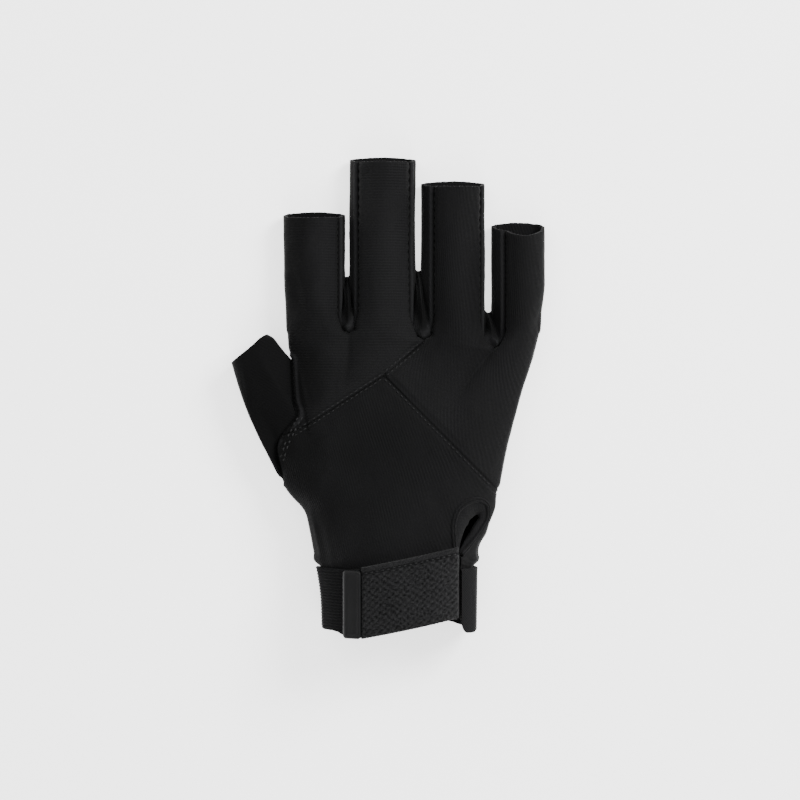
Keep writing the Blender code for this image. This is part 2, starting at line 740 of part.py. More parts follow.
def slab(name, upper, lower, look):
    """A closed solid between two grids of points of the same size."""
    mesh = bmesh.new()
    rows, columns = len(upper), len(upper[0])
    top = [[mesh.verts.new(point) for point in row] for row in upper]
    low = [[mesh.verts.new(point) for point in row] for row in lower]
    for r in range(rows - 1):
        for c in range(columns - 1):
            mesh.faces.new([top[r][c], top[r][c + 1], top[r + 1][c + 1], top[r + 1][c]])
            mesh.faces.new([low[r][c], low[r + 1][c], low[r + 1][c + 1], low[r][c + 1]])
    for c in range(columns - 1):
        mesh.faces.new([top[0][c], low[0][c], low[0][c + 1], top[0][c + 1]])
        mesh.faces.new([top[-1][c], top[-1][c + 1], low[-1][c + 1], low[-1][c]])
    for r in range(rows - 1):
        mesh.faces.new([top[r][0], top[r + 1][0], low[r + 1][0], low[r][0]])
        mesh.faces.new([top[r][-1], low[r][-1], low[r + 1][-1], top[r + 1][-1]])
    return finish_object(name, mesh, look)


def band_heights(low, high):
    """Rows of points from a low to a high edge, closer together where the body swells out."""
    bend = min(CUFF_HEIGHT * PINCH_START, mix(high, low, 0.05))
    heights = [mix(low, bend, r / BAND_LOW_ROWS) for r in range(BAND_LOW_ROWS)]
    return heights + [mix(bend, high, r / BAND_HIGH_ROWS) for r in range(BAND_HIGH_ROWS + 1)]


def make_cuff():
    shares = lengths_along(cuff_loop(CUFF_HEIGHT / 2, CUFF_GAP))
    grids = []
    for lift in (CUFF_GAP + CUFF_WALL, CUFF_GAP):
        columns = []
        for i, share in enumerate(shares):
            low = CUFF_HEIGHT * along_table(CUFF_EDGES, 1, share)
            high = CUFF_HEIGHT * along_table(CUFF_EDGES, 2, share)
            column = []
            for y in band_heights(low, high):
                x, z = cuff_loop(y, lift)[i]
                column.append(Vector((x, y, z)))
            columns.append(column)
        grids.append([list(row) for row in zip(*columns)])
    return slab("wrist_cuff", grids[0], grids[1], BAND_WEAVE)


def strap_lift():
    return 2 * CUFF_GAP + CUFF_WALL


def make_strap():
    stop = SLIT_X - SLIT_WIDTH / 2
    grids = []
    for lift in (strap_lift() + STRAP_THICK, strap_lift()):
        columns = []
        for c in range(STRAP_COLUMNS + 1):
            share = c / STRAP_COLUMNS
            x = stop - STRAP_LENGTH * (1.0 - share)
            low = STRAP_RISE * share - STRAP_DROP
            heights = band_heights(low, low + STRAP_WIDTH)
            columns.append([Vector((x, y, height_on(back_line(y, lift), x))) for y in heights])
        grids.append([list(row) for row in zip(*columns)])
    return slab("strap", grids[0], grids[1], BAND_WEAVE)


def make_pull_tab():
    """The moulded tab beside the strap's end, with rounded corners."""
    right = SLIT_X - SLIT_WIDTH / 2 - STRAP_LENGTH - SEAM_GAP
    grids = []
    for lift in (strap_lift() + TAB_THICK, strap_lift()):
        grid = []
        for share in TAB_ROW_SHARES:
            from_end = min(share, 1.0 - share) * TAB_LENGTH
            short = max(TAB_CORNER - from_end, 0.0)
            corner = TAB_CORNER - math.sqrt(TAB_CORNER**2 - short**2)
            y = share * TAB_LENGTH - STRAP_DROP
            points = []
            for c in range(TAB_COLUMNS + 1):
                x = mix(right - TAB_WIDTH + corner, right - corner, c / TAB_COLUMNS)
                points.append(Vector((x, y, height_on(back_line(y, lift), x))))
            grid.append(points)
        grids.append(grid)
    return slab("pull_tab", grids[0], grids[1], TAB_RUBBER)


def keyhole_route():
    """The middle of the binding on the cloth's face, on a smooth curve through its route."""
    rows = [(i, across, up) for i, (across, up) in enumerate(KEYHOLE_ROUTE)]
    route = []
    for step in range((len(rows) - 1) * BINDING_STEPS + 1):
        at = step / BINDING_STEPS
        x = SLIT_X + along_table(rows, 1, at) * KEYHOLE_WIDTH
        y = KEYHOLE_FOOT + along_table(rows, 2, at) * KEYHOLE_LENGTH
        route.append(on_back(x, y))
    return route


def route_frames(route):
    """At each point of the route, the cloth's normal and the direction that points out of the vent."""
    frames = []
    for i, point in enumerate(route):
        run = route[min(i + 1, len(route) - 1)] - route[max(i - 1, 0)]
        normal = back_normal(point.x, point.y)
        frames.append((point, normal, normal.cross(run).normalized()))
    return frames


def make_binding():
    mesh = bmesh.new()
    rings = []
    for point, normal, side in route_frames(keyhole_route()):
        middle = point - normal * BINDING_SINK
        ring = []
        for i in range(BINDING_SIDES):
            angle = 2 * math.pi * i / BINDING_SIDES
            offset = side * math.cos(angle) + normal * math.sin(angle)
            ring.append(mesh.verts.new(middle + offset * BINDING_RADIUS))
        rings.append(ring)
    for first, second in zip(rings, rings[1:]):
        for i in range(BINDING_SIDES):
            j = (i + 1) % BINDING_SIDES
            mesh.faces.new([first[i], first[j], second[j], second[i]])
    mesh.faces.new(rings[0])
    mesh.faces.new(list(reversed(rings[-1])))
    return finish_object("slit_binding", mesh, CLOTH_DARK)


def vent_outline():
    """The cut's outline on the cloth's face: round the binding, then down the slit to the hem."""
    clear = BINDING_RADIUS + VENT_CLEARANCE
    around = [point + side * clear for point, _, side in route_frames(keyhole_route())]
    foot = around[0].y - clear
    left, right = SLIT_X - SLIT_WIDTH / 2, SLIT_X + SLIT_WIDTH / 2
    corners = [(around[-1].x, foot), (right, foot), (right, 0.0), (left, 0.0), (left, foot), (around[0].x, foot)]
    return around + [on_back(x, y) for x, y in corners]


def make_vent_cutter():
    """The keyhole and the slit below it as one prism, square to the cloth at the keyhole's middle."""
    middle = on_back(SLIT_X + KEYHOLE_WIDTH * 0.3, KEYHOLE_FOOT + KEYHOLE_LENGTH * 0.5)
    normal = back_normal(middle.x, middle.y)
    mesh = bmesh.new()
    levels = []
    for height in (-VENT_DEPTH, VENT_DEPTH):
        ring = []
        for point in vent_outline():
            to_level = height - (point - middle).dot(normal)
            ring.append(mesh.verts.new(point + normal * to_level))
        levels.append(ring)
    low, high = levels
    mesh.faces.new(low)
    mesh.faces.new(high)
    for i in range(len(low)):
        j = (i + 1) % len(low)
        mesh.faces.new([low[i], low[j], high[j], high[i]])
    cutter = finish_object("vent_cutter", mesh, CLOTH_DARK)
    cutter.hide_render = True
    cutter.display_type = "WIRE"
    return cutter


def cut_vent(panel, cutter):
    cut = panel.modifiers.new("vent", "BOOLEAN")
    cut.operation = "DIFFERENCE"
    cut.solver = "EXACT"
    cut.object = cutter


def rest_on_origin(objects, extras):
    """Moves everything so that the middle of the glove's box lies over the origin, standing on z = 0."""
    points = [vert.co for thing in objects for vert in thing.data.vertices]
    lows = Vector(min(point[i] for point in points) for i in range(3))
    highs = Vector(max(point[i] for point in points) for i in range(3))
    shift = Vector((-(lows.x + highs.x) / 2, -(lows.y + highs.y) / 2, -lows.z))
    for thing in objects + extras:
        for vert in thing.data.vertices:
            vert.co += shift


def main():
    for thing in list(bpy.data.objects):
        bpy.data.objects.remove(thing, do_unlink=True)
    skin = glove_skin()
    made = []
    for name in PANELS:
        look = CLOTH_THUMB if name == "thumb_sleeve" else CLOTH_DARK
        made.append(panel_wall(skin, name, look))
    skin.free()
    made += [make_cuff(), make_strap(), make_pull_tab(), make_binding()]
    cutter = make_vent_cutter()
    cut_vent(bpy.data.objects["back_lower_panel"], cutter)
    rest_on_origin(made, [cutter])


main()
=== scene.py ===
# A cut-finger water sports glove for the right hand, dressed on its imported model.
# It lies palm down: X runs from the thumb to the little finger, Y to the fingertips, Z up.

import math
import random

import bmesh
import bpy
import numpy as np
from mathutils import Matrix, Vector, noise
from mathutils.bvhtree import BVHTree
from mathutils.kdtree import KDTree


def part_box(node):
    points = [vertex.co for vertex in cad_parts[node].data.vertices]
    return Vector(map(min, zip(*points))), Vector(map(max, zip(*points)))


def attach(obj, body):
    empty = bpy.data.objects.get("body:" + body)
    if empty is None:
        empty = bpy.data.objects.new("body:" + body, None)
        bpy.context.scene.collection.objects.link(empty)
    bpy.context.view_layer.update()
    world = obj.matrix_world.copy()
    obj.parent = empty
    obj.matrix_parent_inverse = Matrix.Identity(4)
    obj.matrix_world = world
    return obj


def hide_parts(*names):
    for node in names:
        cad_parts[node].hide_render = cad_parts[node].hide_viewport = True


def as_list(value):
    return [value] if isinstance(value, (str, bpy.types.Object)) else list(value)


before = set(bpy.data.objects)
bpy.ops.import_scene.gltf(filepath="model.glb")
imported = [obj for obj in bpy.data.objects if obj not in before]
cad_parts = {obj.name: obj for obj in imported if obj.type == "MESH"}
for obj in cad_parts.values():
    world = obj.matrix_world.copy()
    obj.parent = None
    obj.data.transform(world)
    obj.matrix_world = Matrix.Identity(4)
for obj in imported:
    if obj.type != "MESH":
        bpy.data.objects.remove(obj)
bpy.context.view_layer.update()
dice = random.Random(7)
mm = 0.001

# how finely the cloth is drawn: columns and rows for each patch of the pattern
grid = dict(back=24, palm=16, side=12, rows=4, finger=22, thumb=16)

# the pattern of the hand, in metres. Shares are of length, width or of the way between two sizes
hand = dict(
    length=0.1184, width=0.1010, height=0.0270, knuckle=0.0225, wristWidth=0.0624, wristHeight=0.0335,
    hem=0.0060, sideRise=0.42, lobe=0.70, sideInset=0.0010, palmInset=0.0018, edgeLift=0.0014,
    meetX=-0.060, meetY=0.858, seamRow=6, thumbTop=2, thumbFoot=9,
    bulge=2.5, crown=0.8, webRows=4, curlColumns=3,
    # up from the wrist, how wide, leaning, how flat, how low
    outline=[
        (0, 0, 0, 0, 0), (0.12, 0.02, -0.002, 0, 0), (0.22, 0.07, -0.010, 0.02, 0),
        (0.29, 0.11, -0.017, 0.12, 0), (0.355, 0.25, -0.005, 0.32, 0), (0.41, 0.38, 0.001, 0.52, 0),
        (0.463, 0.55, -0.025, 0.72, 0), (0.5, 0.65, -0.028, 0.86, 0), (0.57, 0.68, -0.020, 1, 0),
        (0.65, 0.72, -0.008, 1, 0.05), (0.73, 0.78, 0.006, 1, 0.20), (0.81, 0.84, 0.020, 1, 0.45),
        (0.9, 0.92, 0.040, 1, 0.75), (1, 1, 0.056, 1, 1),
    ],
    # rows of cloth from the finger webs to the band: number, left, inset, middle, right
    cloth=[
        (0, 1, 0, 0, 1), (1, 0.939, 0, 0, 0.877), (2, 0.876, 0.08, 0, 0.755), (3, 0.772, 0.13, 0, 0.630),
        (4, 0.667, 0.19, 0, 0.508), (5, 0.605, 0.29, 0, 0.384), (6, 0.513, 0.10, 0, 0.261),
        (7, 0.443, -0.07, 0.16, 0.217), (8, 0.361, -0.05, 0.33, 0.171), (9, 0.291, 0, 0.50, 0.124),
        (10, 0.189, 0, 0.67, 0.078), (11, 0.083, 0, 0.84, 0.031), (12, 0, 0, 1, 0),
    ],
)

fingers = dict(
    reach=0.0700, height=0.0155, gap=0.0013, webSlope=0.0228, rimStep=0.0018, spread=0.5, arch=0.0008,
    seamInset=0.0032, seamRise=0.62, outerLeft=-0.460, outerRight=0.580, landing=0.20,
    taper=0.10, crowd=1.15,
    # reach, height, left seam, right seam, rim, how far the mouth dips on the back
    each=[(0.686, 1.00, 0.30, 0.80, 1.0, 0.0013), (1.000, 1.03, 1.20, 0.80, 1.0, 0.0009),
          (0.863, 1.00, 1.70, 0.60, 1.0, 0.0012), (0.625, 0.92, 1.80, 0.30, 1.6, 0.0030)],
    # name, middle of the gap, middle on the back, width, drop on the back, rise on the palm
    webs=[("fourchette_index_middle", -0.207, -0.196, 0.8, 0.00, 1.00),
          ("fourchette_middle_ring", 0.075, 0.100, 1.0, 0.14, 1.10),
          ("fourchette_ring_little", 0.352, 0.376, 1.4, 0.26, 0.37)],
)

thumb = dict(
    width=0.0174, height=0.0150, reach=0.0320, lean=26.2, cut=38.0, lift=0.0008, swell=0.0022, crown=0.0015,
    # its end is a rounded box: how square, and where its top and its floor start and stop, in degrees
    square=0.85, corners=(18, 162, 206, 334),
)

band = dict(
    height=0.0264, wall=0.0020, gap=0.0004, pinchStart=0.93, pinchRun=0.0054, clear=0.0045,
    slit=0.381 * hand["wristWidth"], slitWidth=0.0012, bandGap=0.0004, ribEvery=0.00118, ribDepth=0.00013,
    wave=0.00018, columns=230, rows=120, lowest=-0.003, highest=0.036, sections=100,
    # share of the way round from the slit, low edge, high edge
    edges=[(0, 0.20, 0.97), (0.012, 0.06, 0.97), (0.03, 0.01, 0.97), (0.14, 0.02, 0.97), (0.24, 0.16, 0.92),
           (0.48, 0.16, 0.92), (0.57, 0.05, 0.98), (0.66, 0.05, 0.98), (0.74, -0.03, 0.98), (1, 0.30, 1.20)],
)

panels = ["back_upper_panel", "back_outer_panel", "back_lower_panel", "palm_panel", "thumb_sleeve"]
panels += [web[0] for web in fingers["webs"]]


def mix(a, b, share):
    return a + (b - a) * share


def ease(share):
    share = min(max(share, 0.0), 1.0)
    return share * share * (3.0 - 2.0 * share)


def bell(distance, width):
    return math.exp(-((distance / width) ** 2))


def readTable(table, column, at):
    # a column of a table whose first column rises, on a smooth curve through its rows
    if at <= table[0][0]:
        return table[0][column]
    if at >= table[-1][0]:
        return table[-1][column]
    i = next(n for n in range(len(table) - 1) if table[n + 1][0] >= at)
    before, after = table[max(i - 1, 0)], table[min(i + 2, len(table) - 1)]
    left, right = table[i], table[i + 1]
    width = right[0] - left[0]
    slopeLeft = (right[column] - before[column]) / (right[0] - before[0])
    slopeRight = (after[column] - left[column]) / (after[0] - left[0])
    t = (at - left[0]) / width
    return (
        (2 * t**3 - 3 * t**2 + 1) * left[column] + (t**3 - 2 * t**2 + t) * width * slopeLeft
        + (3 * t**2 - 2 * t**3) * right[column] + (t**3 - t**2) * width * slopeRight
    )


# the hand's surface, in the pattern's own place: Y = 0 at the wrist edge

def pinch(y):
    # how far the wrist band draws the cloth in
    free = ease((y - band["pinchStart"] * band["height"]) / band["pinchRun"])
    return (band["wall"] + band["gap"]) * (1.0 - free)


def edges(y):
    along = y / hand["length"]
    width = mix(hand["wristWidth"], hand["width"], readTable(hand["outline"], 1, along)) - 2 * pinch(y)
    middle = hand["width"] * readTable(hand["outline"], 2, along)
    return middle - width / 2, middle + width / 2


def floorHeight(y):
    return pinch(y - (1.0 - band["pinchStart"]) * band["height"])


def crownHeight(y):
    along = y / hand["length"]
    body = mix(hand["wristHeight"], hand["height"], readTable(hand["outline"], 3, along))
    return mix(body, hand["knuckle"], readTable(hand["outline"], 4, along))


def sideHeight(y):
    return mix(floorHeight(y), crownHeight(y), hand["sideRise"])


def backHeight(x, y):
    left, right = edges(y)
    across = min(max((x - left) / (right - left), 0.0), 1.0)
    swell = (1.0 - abs(2.0 * across - 1.0) ** hand["bulge"]) ** hand["crown"]
    return mix(sideHeight(y), crownHeight(y), swell)


def onBack(x, y):
    return Vector((x, y, backHeight(x, y)))


def backNormal(x, y):
    step = 0.0005
    runX = onBack(x + step, y) - onBack(x - step, y)
    runY = onBack(x, y + step) - onBack(x, y - step)
    return runX.cross(runY).normalized()


def sidePoints(edge, outward, yBack, yPalm, inset, zBack, zPalm):
    # from a back seam round the side down to the palm seam
    points = []
    for k in range(grid["side"] + 1):
        down = k / grid["side"]
        pull = inset * (1.0 - down) ** hand["bulge"] + hand["palmInset"] * down**5
        points.append(Vector((edge - outward * pull, mix(yBack, yPalm, down), mix(zBack, zPalm, down))))
    return points


def bandRows():
    # heights of the rows below the numbered ones, through the step under the band to the hem
    start, run = band["pinchStart"] * band["height"], band["pinchRun"]
    drawn = [start + share * run for share in (1.0, 0.7, 0.35, 0.0)]
    return [start + run + band["clear"]] + drawn + [start / 2, hand["hem"]]


def webSpots():
    spots = []
    for _, xGap, xBack, _, drop, rise in fingers["webs"]:
        yBack = hand["length"] - drop * fingers["webSlope"]
        yPalm = hand["length"] + rise * fingers["webSlope"]
        spots.append((Vector((xBack * hand["width"], yBack, 0)), Vector((xGap * hand["width"], yPalm, 0))))
    return spots


def edgeRow(at):
    # left edge, middle and right edge of the row of cloth with this number, fractions too
    low = bandRows()
    last = hand["cloth"][-1][0]
    if at > last:
        part = min(int(at - last), len(low) - 2)
        y = mix(low[part], low[part + 1], at - last - part)
        left, right = edges(y)
        a = Vector((left + hand["sideInset"], y, 0))
        b = Vector((right - hand["sideInset"], y, 0))
        return a, a.lerp(b, 0.5), b
    leftShare, inset, middleShare, rightShare = (readTable(hand["cloth"], c, at) for c in (1, 2, 3, 4))
    yLeft = mix(low[0], hand["length"], leftShare)
    yRight = mix(low[0], hand["length"], rightShare)
    a = Vector((edges(yLeft)[0] + hand["sideInset"] + inset * thumb["width"], yLeft, 0))
    b = Vector((edges(yRight)[1] - hand["sideInset"], yRight, 0))
    meet = Vector((hand["meetX"] * hand["width"], hand["meetY"] * hand["length"], 0))
    wrist = Vector((sum(edges(low[0])) / 2, low[0], 0))
    above = webSpots()[1][0].lerp(meet, min(at / hand["seamRow"], 1.0))
    return a, above.lerp(wrist, middleShare), b


def planRow(left, middle, right, columns):
    half = columns // 2
    outer = [middle.lerp(right, c / half) for c in range(half + 1)]
    return [left.lerp(middle, c / half) for c in range(half)] + outer


def curled(c, columns):
    # the palm's cloth turns up beside its seams: 1 at the seam and 0 three columns in
    return max(0.0, 1.0 - min(c, columns - c) / hand["curlColumns"]) ** 2


def bendToWebs(rows, spots, columns, fadeRows):
    # the first row passes through the webs, and the bend fades further down
    step = columns // 4
    stops = [rows[0][0]] + spots + [rows[0][-1]]
    bends = []
    for c in range(columns + 1):
        part = min(c // step, 3)
        bends.append(stops[part].lerp(stops[part + 1], (c - part * step) / step) - rows[0][c])
    return [
        [point + bend * max(1.0 - row / fadeRows, 0.0) ** 2 for point, bend in zip(points, bends)]
        for row, points in enumerate(rows)
    ]


def fingerHeight(index, share):
    return fingers["height"] * fingers["each"][index][1] * (1.06 - fingers["taper"] * share)


def fingerBack(index, share, across):
    height = fingerHeight(index, share)
    return mix(fingers["seamRise"] * height, height, math.sin(math.pi * across) ** hand["crown"])


def fingerSpan(index, share):
    handLeft, handRight = edges(hand["length"])
    spread = ease(share / fingers["spread"])
    left = mix(handLeft, fingers["outerLeft"] * hand["width"], spread)
    right = mix(handRight, fingers["outerRight"] * hand["width"], spread)
    webs = fingers["webs"]
    if index > 0:
        left = webs[index - 1][1] * hand["width"] + webs[index - 1][3] * fingers["gap"] / 2
    if index < len(webs):
        right = webs[index][1] * hand["width"] - webs[index][3] * fingers["gap"] / 2
    return left, right


class Pattern:
    # points, and four-cornered faces that each belong to a panel
    def __init__(self):
        self.points, self.faces, self.owner = [], [], []

    def row(self, points):
        start = len(self.points)
        self.points += [Vector(p) for p in points]
        return list(range(start, len(self.points)))

    def join(self, panel, first, second):
        for i in range(len(first) - 1):
            corners = tuple(dict.fromkeys((first[i], first[i + 1], second[i + 1], second[i])))
            if len(corners) > 2:
                self.faces.append(corners)
                self.owner.append(panels.index(panel))


def sewHand(pattern):
    step = grid["rows"]
    count = (hand["cloth"][-1][0] + len(bandRows()) - 1) * step + 1
    rows = [edgeRow(r / step) for r in range(count)]
    fade = hand["seamRow"] * step
    columns = 4 * grid["back"]
    plan = bendToWebs([planRow(*row, columns) for row in rows], [s[0] for s in webSpots()], columns, fade)
    for r, points in enumerate(plan):
        lobes = hand["lobe"] * ease(1.0 - r / fade)
        for c, point in enumerate(points):
            finger = min(c // grid["back"], 3)
            lobe = fingerBack(finger, 0.0, (c - finger * grid["back"]) / grid["back"])
            point.z = mix(backHeight(point.x, point.y), lobe, lobes)
    back = [pattern.row(points) for points in plan]

    columns = 4 * grid["palm"]
    inward = Vector((hand["palmInset"] - hand["sideInset"], 0, 0))
    flat = []
    for left, _, right in rows:
        a, b = left + inward, right - inward
        flat.append(planRow(a, a.lerp(b, 0.5), b, columns))
    flat = bendToWebs(flat, [s[1] for s in webSpots()], columns, fade)
    for r, points in enumerate(flat):
        for c, point in enumerate(points):
            nearWebs = max(1.0 - r / hand["webRows"], 0.0)
            curl = max(curled(c, columns), curled(c % grid["palm"], grid["palm"]) * nearWebs)
            point.z = floorHeight(point.y) + hand["edgeLift"] * curl
    palm = [pattern.row(points) for points in flat]

    top, foot, seam = (hand[key] * step for key in ("thumbTop", "thumbFoot", "seamRow"))
    sides = {"left": [], "right": []}
    for r in range(count):
        for name, at, outward in (("left", 0, -1), ("right", -1, 1)):
            a, b = pattern.points[back[r][at]], pattern.points[palm[r][at]]
            edge = a.x + outward * hand["sideInset"]
            points = sidePoints(edge, outward, a.y, b.y, hand["sideInset"], a.z, b.z)
            inHole = name == "left" and top < r < foot
            between = [] if inHole else pattern.row(points[1:-1])
            sides[name].append([back[r][at]] + between + [palm[r][at]])
    half = 2 * grid["back"]
    for r in range(count - 1):
        leftPanel, rightPanel = "back_upper_panel", "back_outer_panel"
        if r >= seam:
            leftPanel = rightPanel = "back_lower_panel"
            pattern.join("back_lower_panel", back[r], back[r + 1])
        else:
            pattern.join(leftPanel, back[r][: half + 1], back[r + 1][: half + 1])
            pattern.join(rightPanel, back[r][half:], back[r + 1][half:])
        pattern.join("palm_panel", palm[r], palm[r + 1])
        pattern.join(rightPanel, sides["right"][r], sides["right"][r + 1])
        if not top <= r < foot:
            pattern.join(leftPanel, sides["left"][r], sides["left"][r + 1])
    return back, palm, sides


def fingerRing(index, share, top, low):
    reach, _, seamLeft, seamRight, rim, dip = fingers["each"][index]
    left, right = fingerSpan(index, share)
    height = fingerHeight(index, share)
    tipPalm = hand["length"] + reach * fingers["reach"]
    tipBack = tipPalm - rim * fingers["rimStep"]
    a = left + seamLeft * fingers["seamInset"]
    b = right - seamRight * fingers["seamInset"]
    over, under = [], []
    for c in range(grid["back"] + 1):
        across = c / grid["back"]
        y = mix(top[c].y, tipBack + (fingers["arch"] - dip) * math.sin(math.pi * across), share)
        over.append(Vector((mix(a, b, across), y, fingerBack(index, share, across))))
    for c in range(grid["palm"] + 1):
        across = c / grid["palm"]
        y = mix(low[c].y, tipPalm + fingers["arch"] * math.sin(math.pi * across), share)
        x = mix(left + hand["palmInset"], right - hand["palmInset"], across)
        under.append(Vector((x, y, hand["edgeLift"] * curled(c, grid["palm"]))))
    walls = []
    for edge, outward, at, seam in ((left, -1, 0, seamLeft), (right, 1, -1, seamRight)):
        inset = seam * fingers["seamInset"]
        z = fingers["seamRise"] * height
        walls.append(sidePoints(edge, outward, over[at].y, under[at].y, inset, z, hand["edgeLift"]))
    return over, under, walls[0], walls[1]


def sewFingers(pattern, back, palm, sides):
    webs = []
    for i in range(len(fingers["webs"])):
        top, low = back[0][grid["back"] * (i + 1)], palm[0][grid["palm"] * (i + 1)]
        a, b = pattern.points[top], pattern.points[low]
        middle = []
        for k in range(1, grid["side"]):
            angle = math.pi / 2 * (1.0 - k / grid["side"])
            share = Vector((1.0 - math.cos(angle), 1.0 - math.cos(angle), math.sin(angle)))
            middle.append(b + (a - b) * share)
        webs.append([top] + pattern.row(middle) + [low])
    names = [web[0] for web in fingers["webs"]]
    for index in range(4):
        top = back[0][grid["back"] * index : grid["back"] * (index + 1) + 1]
        low = palm[0][grid["palm"] * index : grid["palm"] * (index + 1) + 1]
        left = webs[index - 1] if index > 0 else sides["left"][0]
        right = webs[index] if index < 3 else sides["right"][0]
        start = [[pattern.points[i].copy() for i in line] for line in (top, low, left, right)]
        backName = "back_upper_panel" if index < 2 else "back_outer_panel"
        leftName = names[index - 1] if index > 0 else "back_upper_panel"
        rightName = names[index] if index < 3 else "back_outer_panel"
        for n in range(1, grid["finger"] + 1):
            share = (n / grid["finger"]) ** fingers["crowd"]
            land = 1.0 - max(1.0 - share / fingers["landing"], 0.0) ** 2.2
            ring = fingerRing(index, share, start[0], start[1])
            for line, base in zip(ring[:2], start[:2]):
                for point, first in zip(line, base):
                    point.x, point.z = mix(first.x, point.x, land), mix(first.z, point.z, land)
            for line, base in zip(ring[2:], start[2:]):
                for k, first in enumerate(base):
                    line[k] = first.lerp(line[k], land)
                    if land < 1.0:
                        line[k].y = mix(first.y, line[k].y, share)
            newTop, newLow = pattern.row(ring[0]), pattern.row(ring[1])
            newLeft = [newTop[0]] + pattern.row(ring[2][1:-1]) + [newLow[0]]
            newRight = [newTop[-1]] + pattern.row(ring[3][1:-1]) + [newLow[-1]]
            pattern.join(backName, newTop, top)
            pattern.join("palm_panel", newLow, low)
            pattern.join(leftName, newLeft, left)
            pattern.join(rightName, newRight, right)
            top, low, left, right = newTop, newLow, newLeft, newRight


def sewThumb(pattern, back, palm, sides):
    top, foot = hand["thumbTop"] * grid["rows"], hand["thumbFoot"] * grid["rows"]
    rows = range(top, foot + 1)
    loop = [back[r][0] for r in rows] + sides["left"][foot][1:-1]
    loop += [palm[r][0] for r in reversed(rows)] + list(reversed(sides["left"][top][1:-1]))
    lean, cut = math.radians(thumb["lean"]), math.radians(thumb["cut"])
    shares = [readTable(hand["cloth"], 1, hand[key]) for key in ("thumbTop", "thumbFoot")]
    y = mix(bandRows()[0], hand["length"], sum(shares) / 2)
    middle = Vector((edges(y)[0] - thumb["reach"] * math.sin(lean), y + thumb["reach"] * math.cos(lean), 0))
    across = Vector((math.cos(cut), math.sin(cut), 0))
    end = []
    corners = [*thumb["corners"], thumb["corners"][0] + 360]
    for start, stop, count in zip(corners, corners[1:], [foot - top, grid["side"]] * 2):
        for i in range(count):
            angle = math.radians(mix(start, stop, i / count))
            plain = (math.cos(angle), math.sin(angle))
            side, rise = (math.copysign(abs(v) ** thumb["square"], v) for v in plain)
            z = thumb["lift"] + thumb["height"] / 2 * (1.0 + rise)
            end.append(middle + across * (side * thumb["width"] / 2) + Vector((0, 0, z)))
    base = [pattern.points[i] for i in loop]
    endLeft = min(point.x for point in end)
    for n in range(1, grid["thumb"] + 1):
        share = n / grid["thumb"]
        bow = math.sin(math.pi * share)
        ring = []
        for start, stop in zip(base, end):
            point = start.lerp(stop, share)
            point.x -= thumb["swell"] * bow * (1.0 - ease((stop.x - endLeft) / thumb["width"]))
            point.z += thumb["crown"] * bow * ease((start.z - hand["edgeLift"]) / thumb["height"] * 2)
            ring.append(point)
        new = pattern.row(ring)
        pattern.join("thumb_sleeve", loop + loop[:1], new + new[:1])
        loop = new


# where the pattern stands in the row frame, read from the strap's outer edge and the hem
place = Vector((
    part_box("strap")[1][0] - (band["slit"] - band["slitWidth"] / 2),
    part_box("palm_panel")[0][1] - hand["hem"],
    0.0,
))


def meshFrom(name, points, faces, marks=None):
    data = bpy.data.meshes.new(name)
    data.from_pydata([tuple(p) for p in points], [], [tuple(f) for f in faces])
    if marks is not None:
        data.polygons.foreach_set("material_index", marks)
    data.validate()
    data.update()
    return data


def turnOut(data, topUp=False):
    # all faces turned outwards; the skin is open at its mouths, so there its topmost face tells
    mesh = bmesh.new()
    mesh.from_mesh(data)
    bmesh.ops.recalc_face_normals(mesh, faces=mesh.faces)
    if topUp and max(mesh.faces, key=lambda face: face.calc_center_median().z).normal.z < 0:
        bmesh.ops.reverse_faces(mesh, faces=mesh.faces)
    mesh.to_mesh(data)
    mesh.free()
    return data


def applied(thing):
    # the object's mesh with its modifiers worked in
    bpy.context.view_layer.update()
    graph = bpy.context.evaluated_depsgraph_get()
    return bpy.data.meshes.new_from_object(thing.evaluated_get(graph))


def sewGlove():
    pattern = Pattern()
    back, palm, sides = sewHand(pattern)
    sewFingers(pattern, back, palm, sides)
    sewThumb(pattern, back, palm, sides)
    data = meshFrom("pattern", pattern.points, pattern.faces, pattern.owner)
    rough = bpy.data.objects.new("pattern", turnOut(data, True))
    bpy.context.scene.collection.objects.link(rough)
    rough.modifiers.new("smooth", "SUBSURF").levels = 1
    fine = applied(rough)
    bpy.data.objects.remove(rough, do_unlink=True)
    return fine


skin = sewGlove()
print("pattern sewn:", len(skin.vertices), "points,", len(skin.polygons), "faces")


# seams, folds and gathers, pressed into the fine skin, with painted light and shade along them

seams = dict(
    wall=0.0016, pleat=0.00055, pleatReach=0.0060, pleats=11.0,
    # lines beside each kind of seam: how far the cloth stands out, how far off the seam, how wide
    press=dict(
        thumb=[(-0.0012, 0.0, 0.0017)], besideThumb=[(0.00042, 0.00112, 0.0009), (-0.00064, 0.0, 0.00045)],
        web=[(0.00042, 0.0016, 0.0006), (-0.00048, 0.0, 0.00045)],
        finger=[(0.00015, 0.0026, 0.0013), (-0.0008, 0.0, 0.0008)],
        flat=[(0.00015, 0.0026, 0.0013), (-0.0005, 0.0, 0.00045), (-0.00035, 0.0016, 0.00045)],
    ),
    # the same for the painted light and shade in its colour: a painted highlight along the rolled ridges,
    # painted shade (below zero) in the grooves
    shade=dict(
        thumb=[(-0.8, 0.0, 0.0012)], besideThumb=[(0.6, 0.0017, 0.0009), (-0.5, 0.0, 0.0008)],
        web=[(1.0, 0.0014, 0.0008), (-0.9, 0.0, 0.0006)], finger=[(-1.0, 0.0, 0.0009)],
        flat=[(0.25, 0.0008, 0.0004), (-0.8, 0.0, 0.0006)],
    ),
    # steps down the raw cut edge: share of the way in, how far it bulges
    rim=[(0.12, 0.00018), (0.5, 0.00032), (0.88, 0.00018)],
)

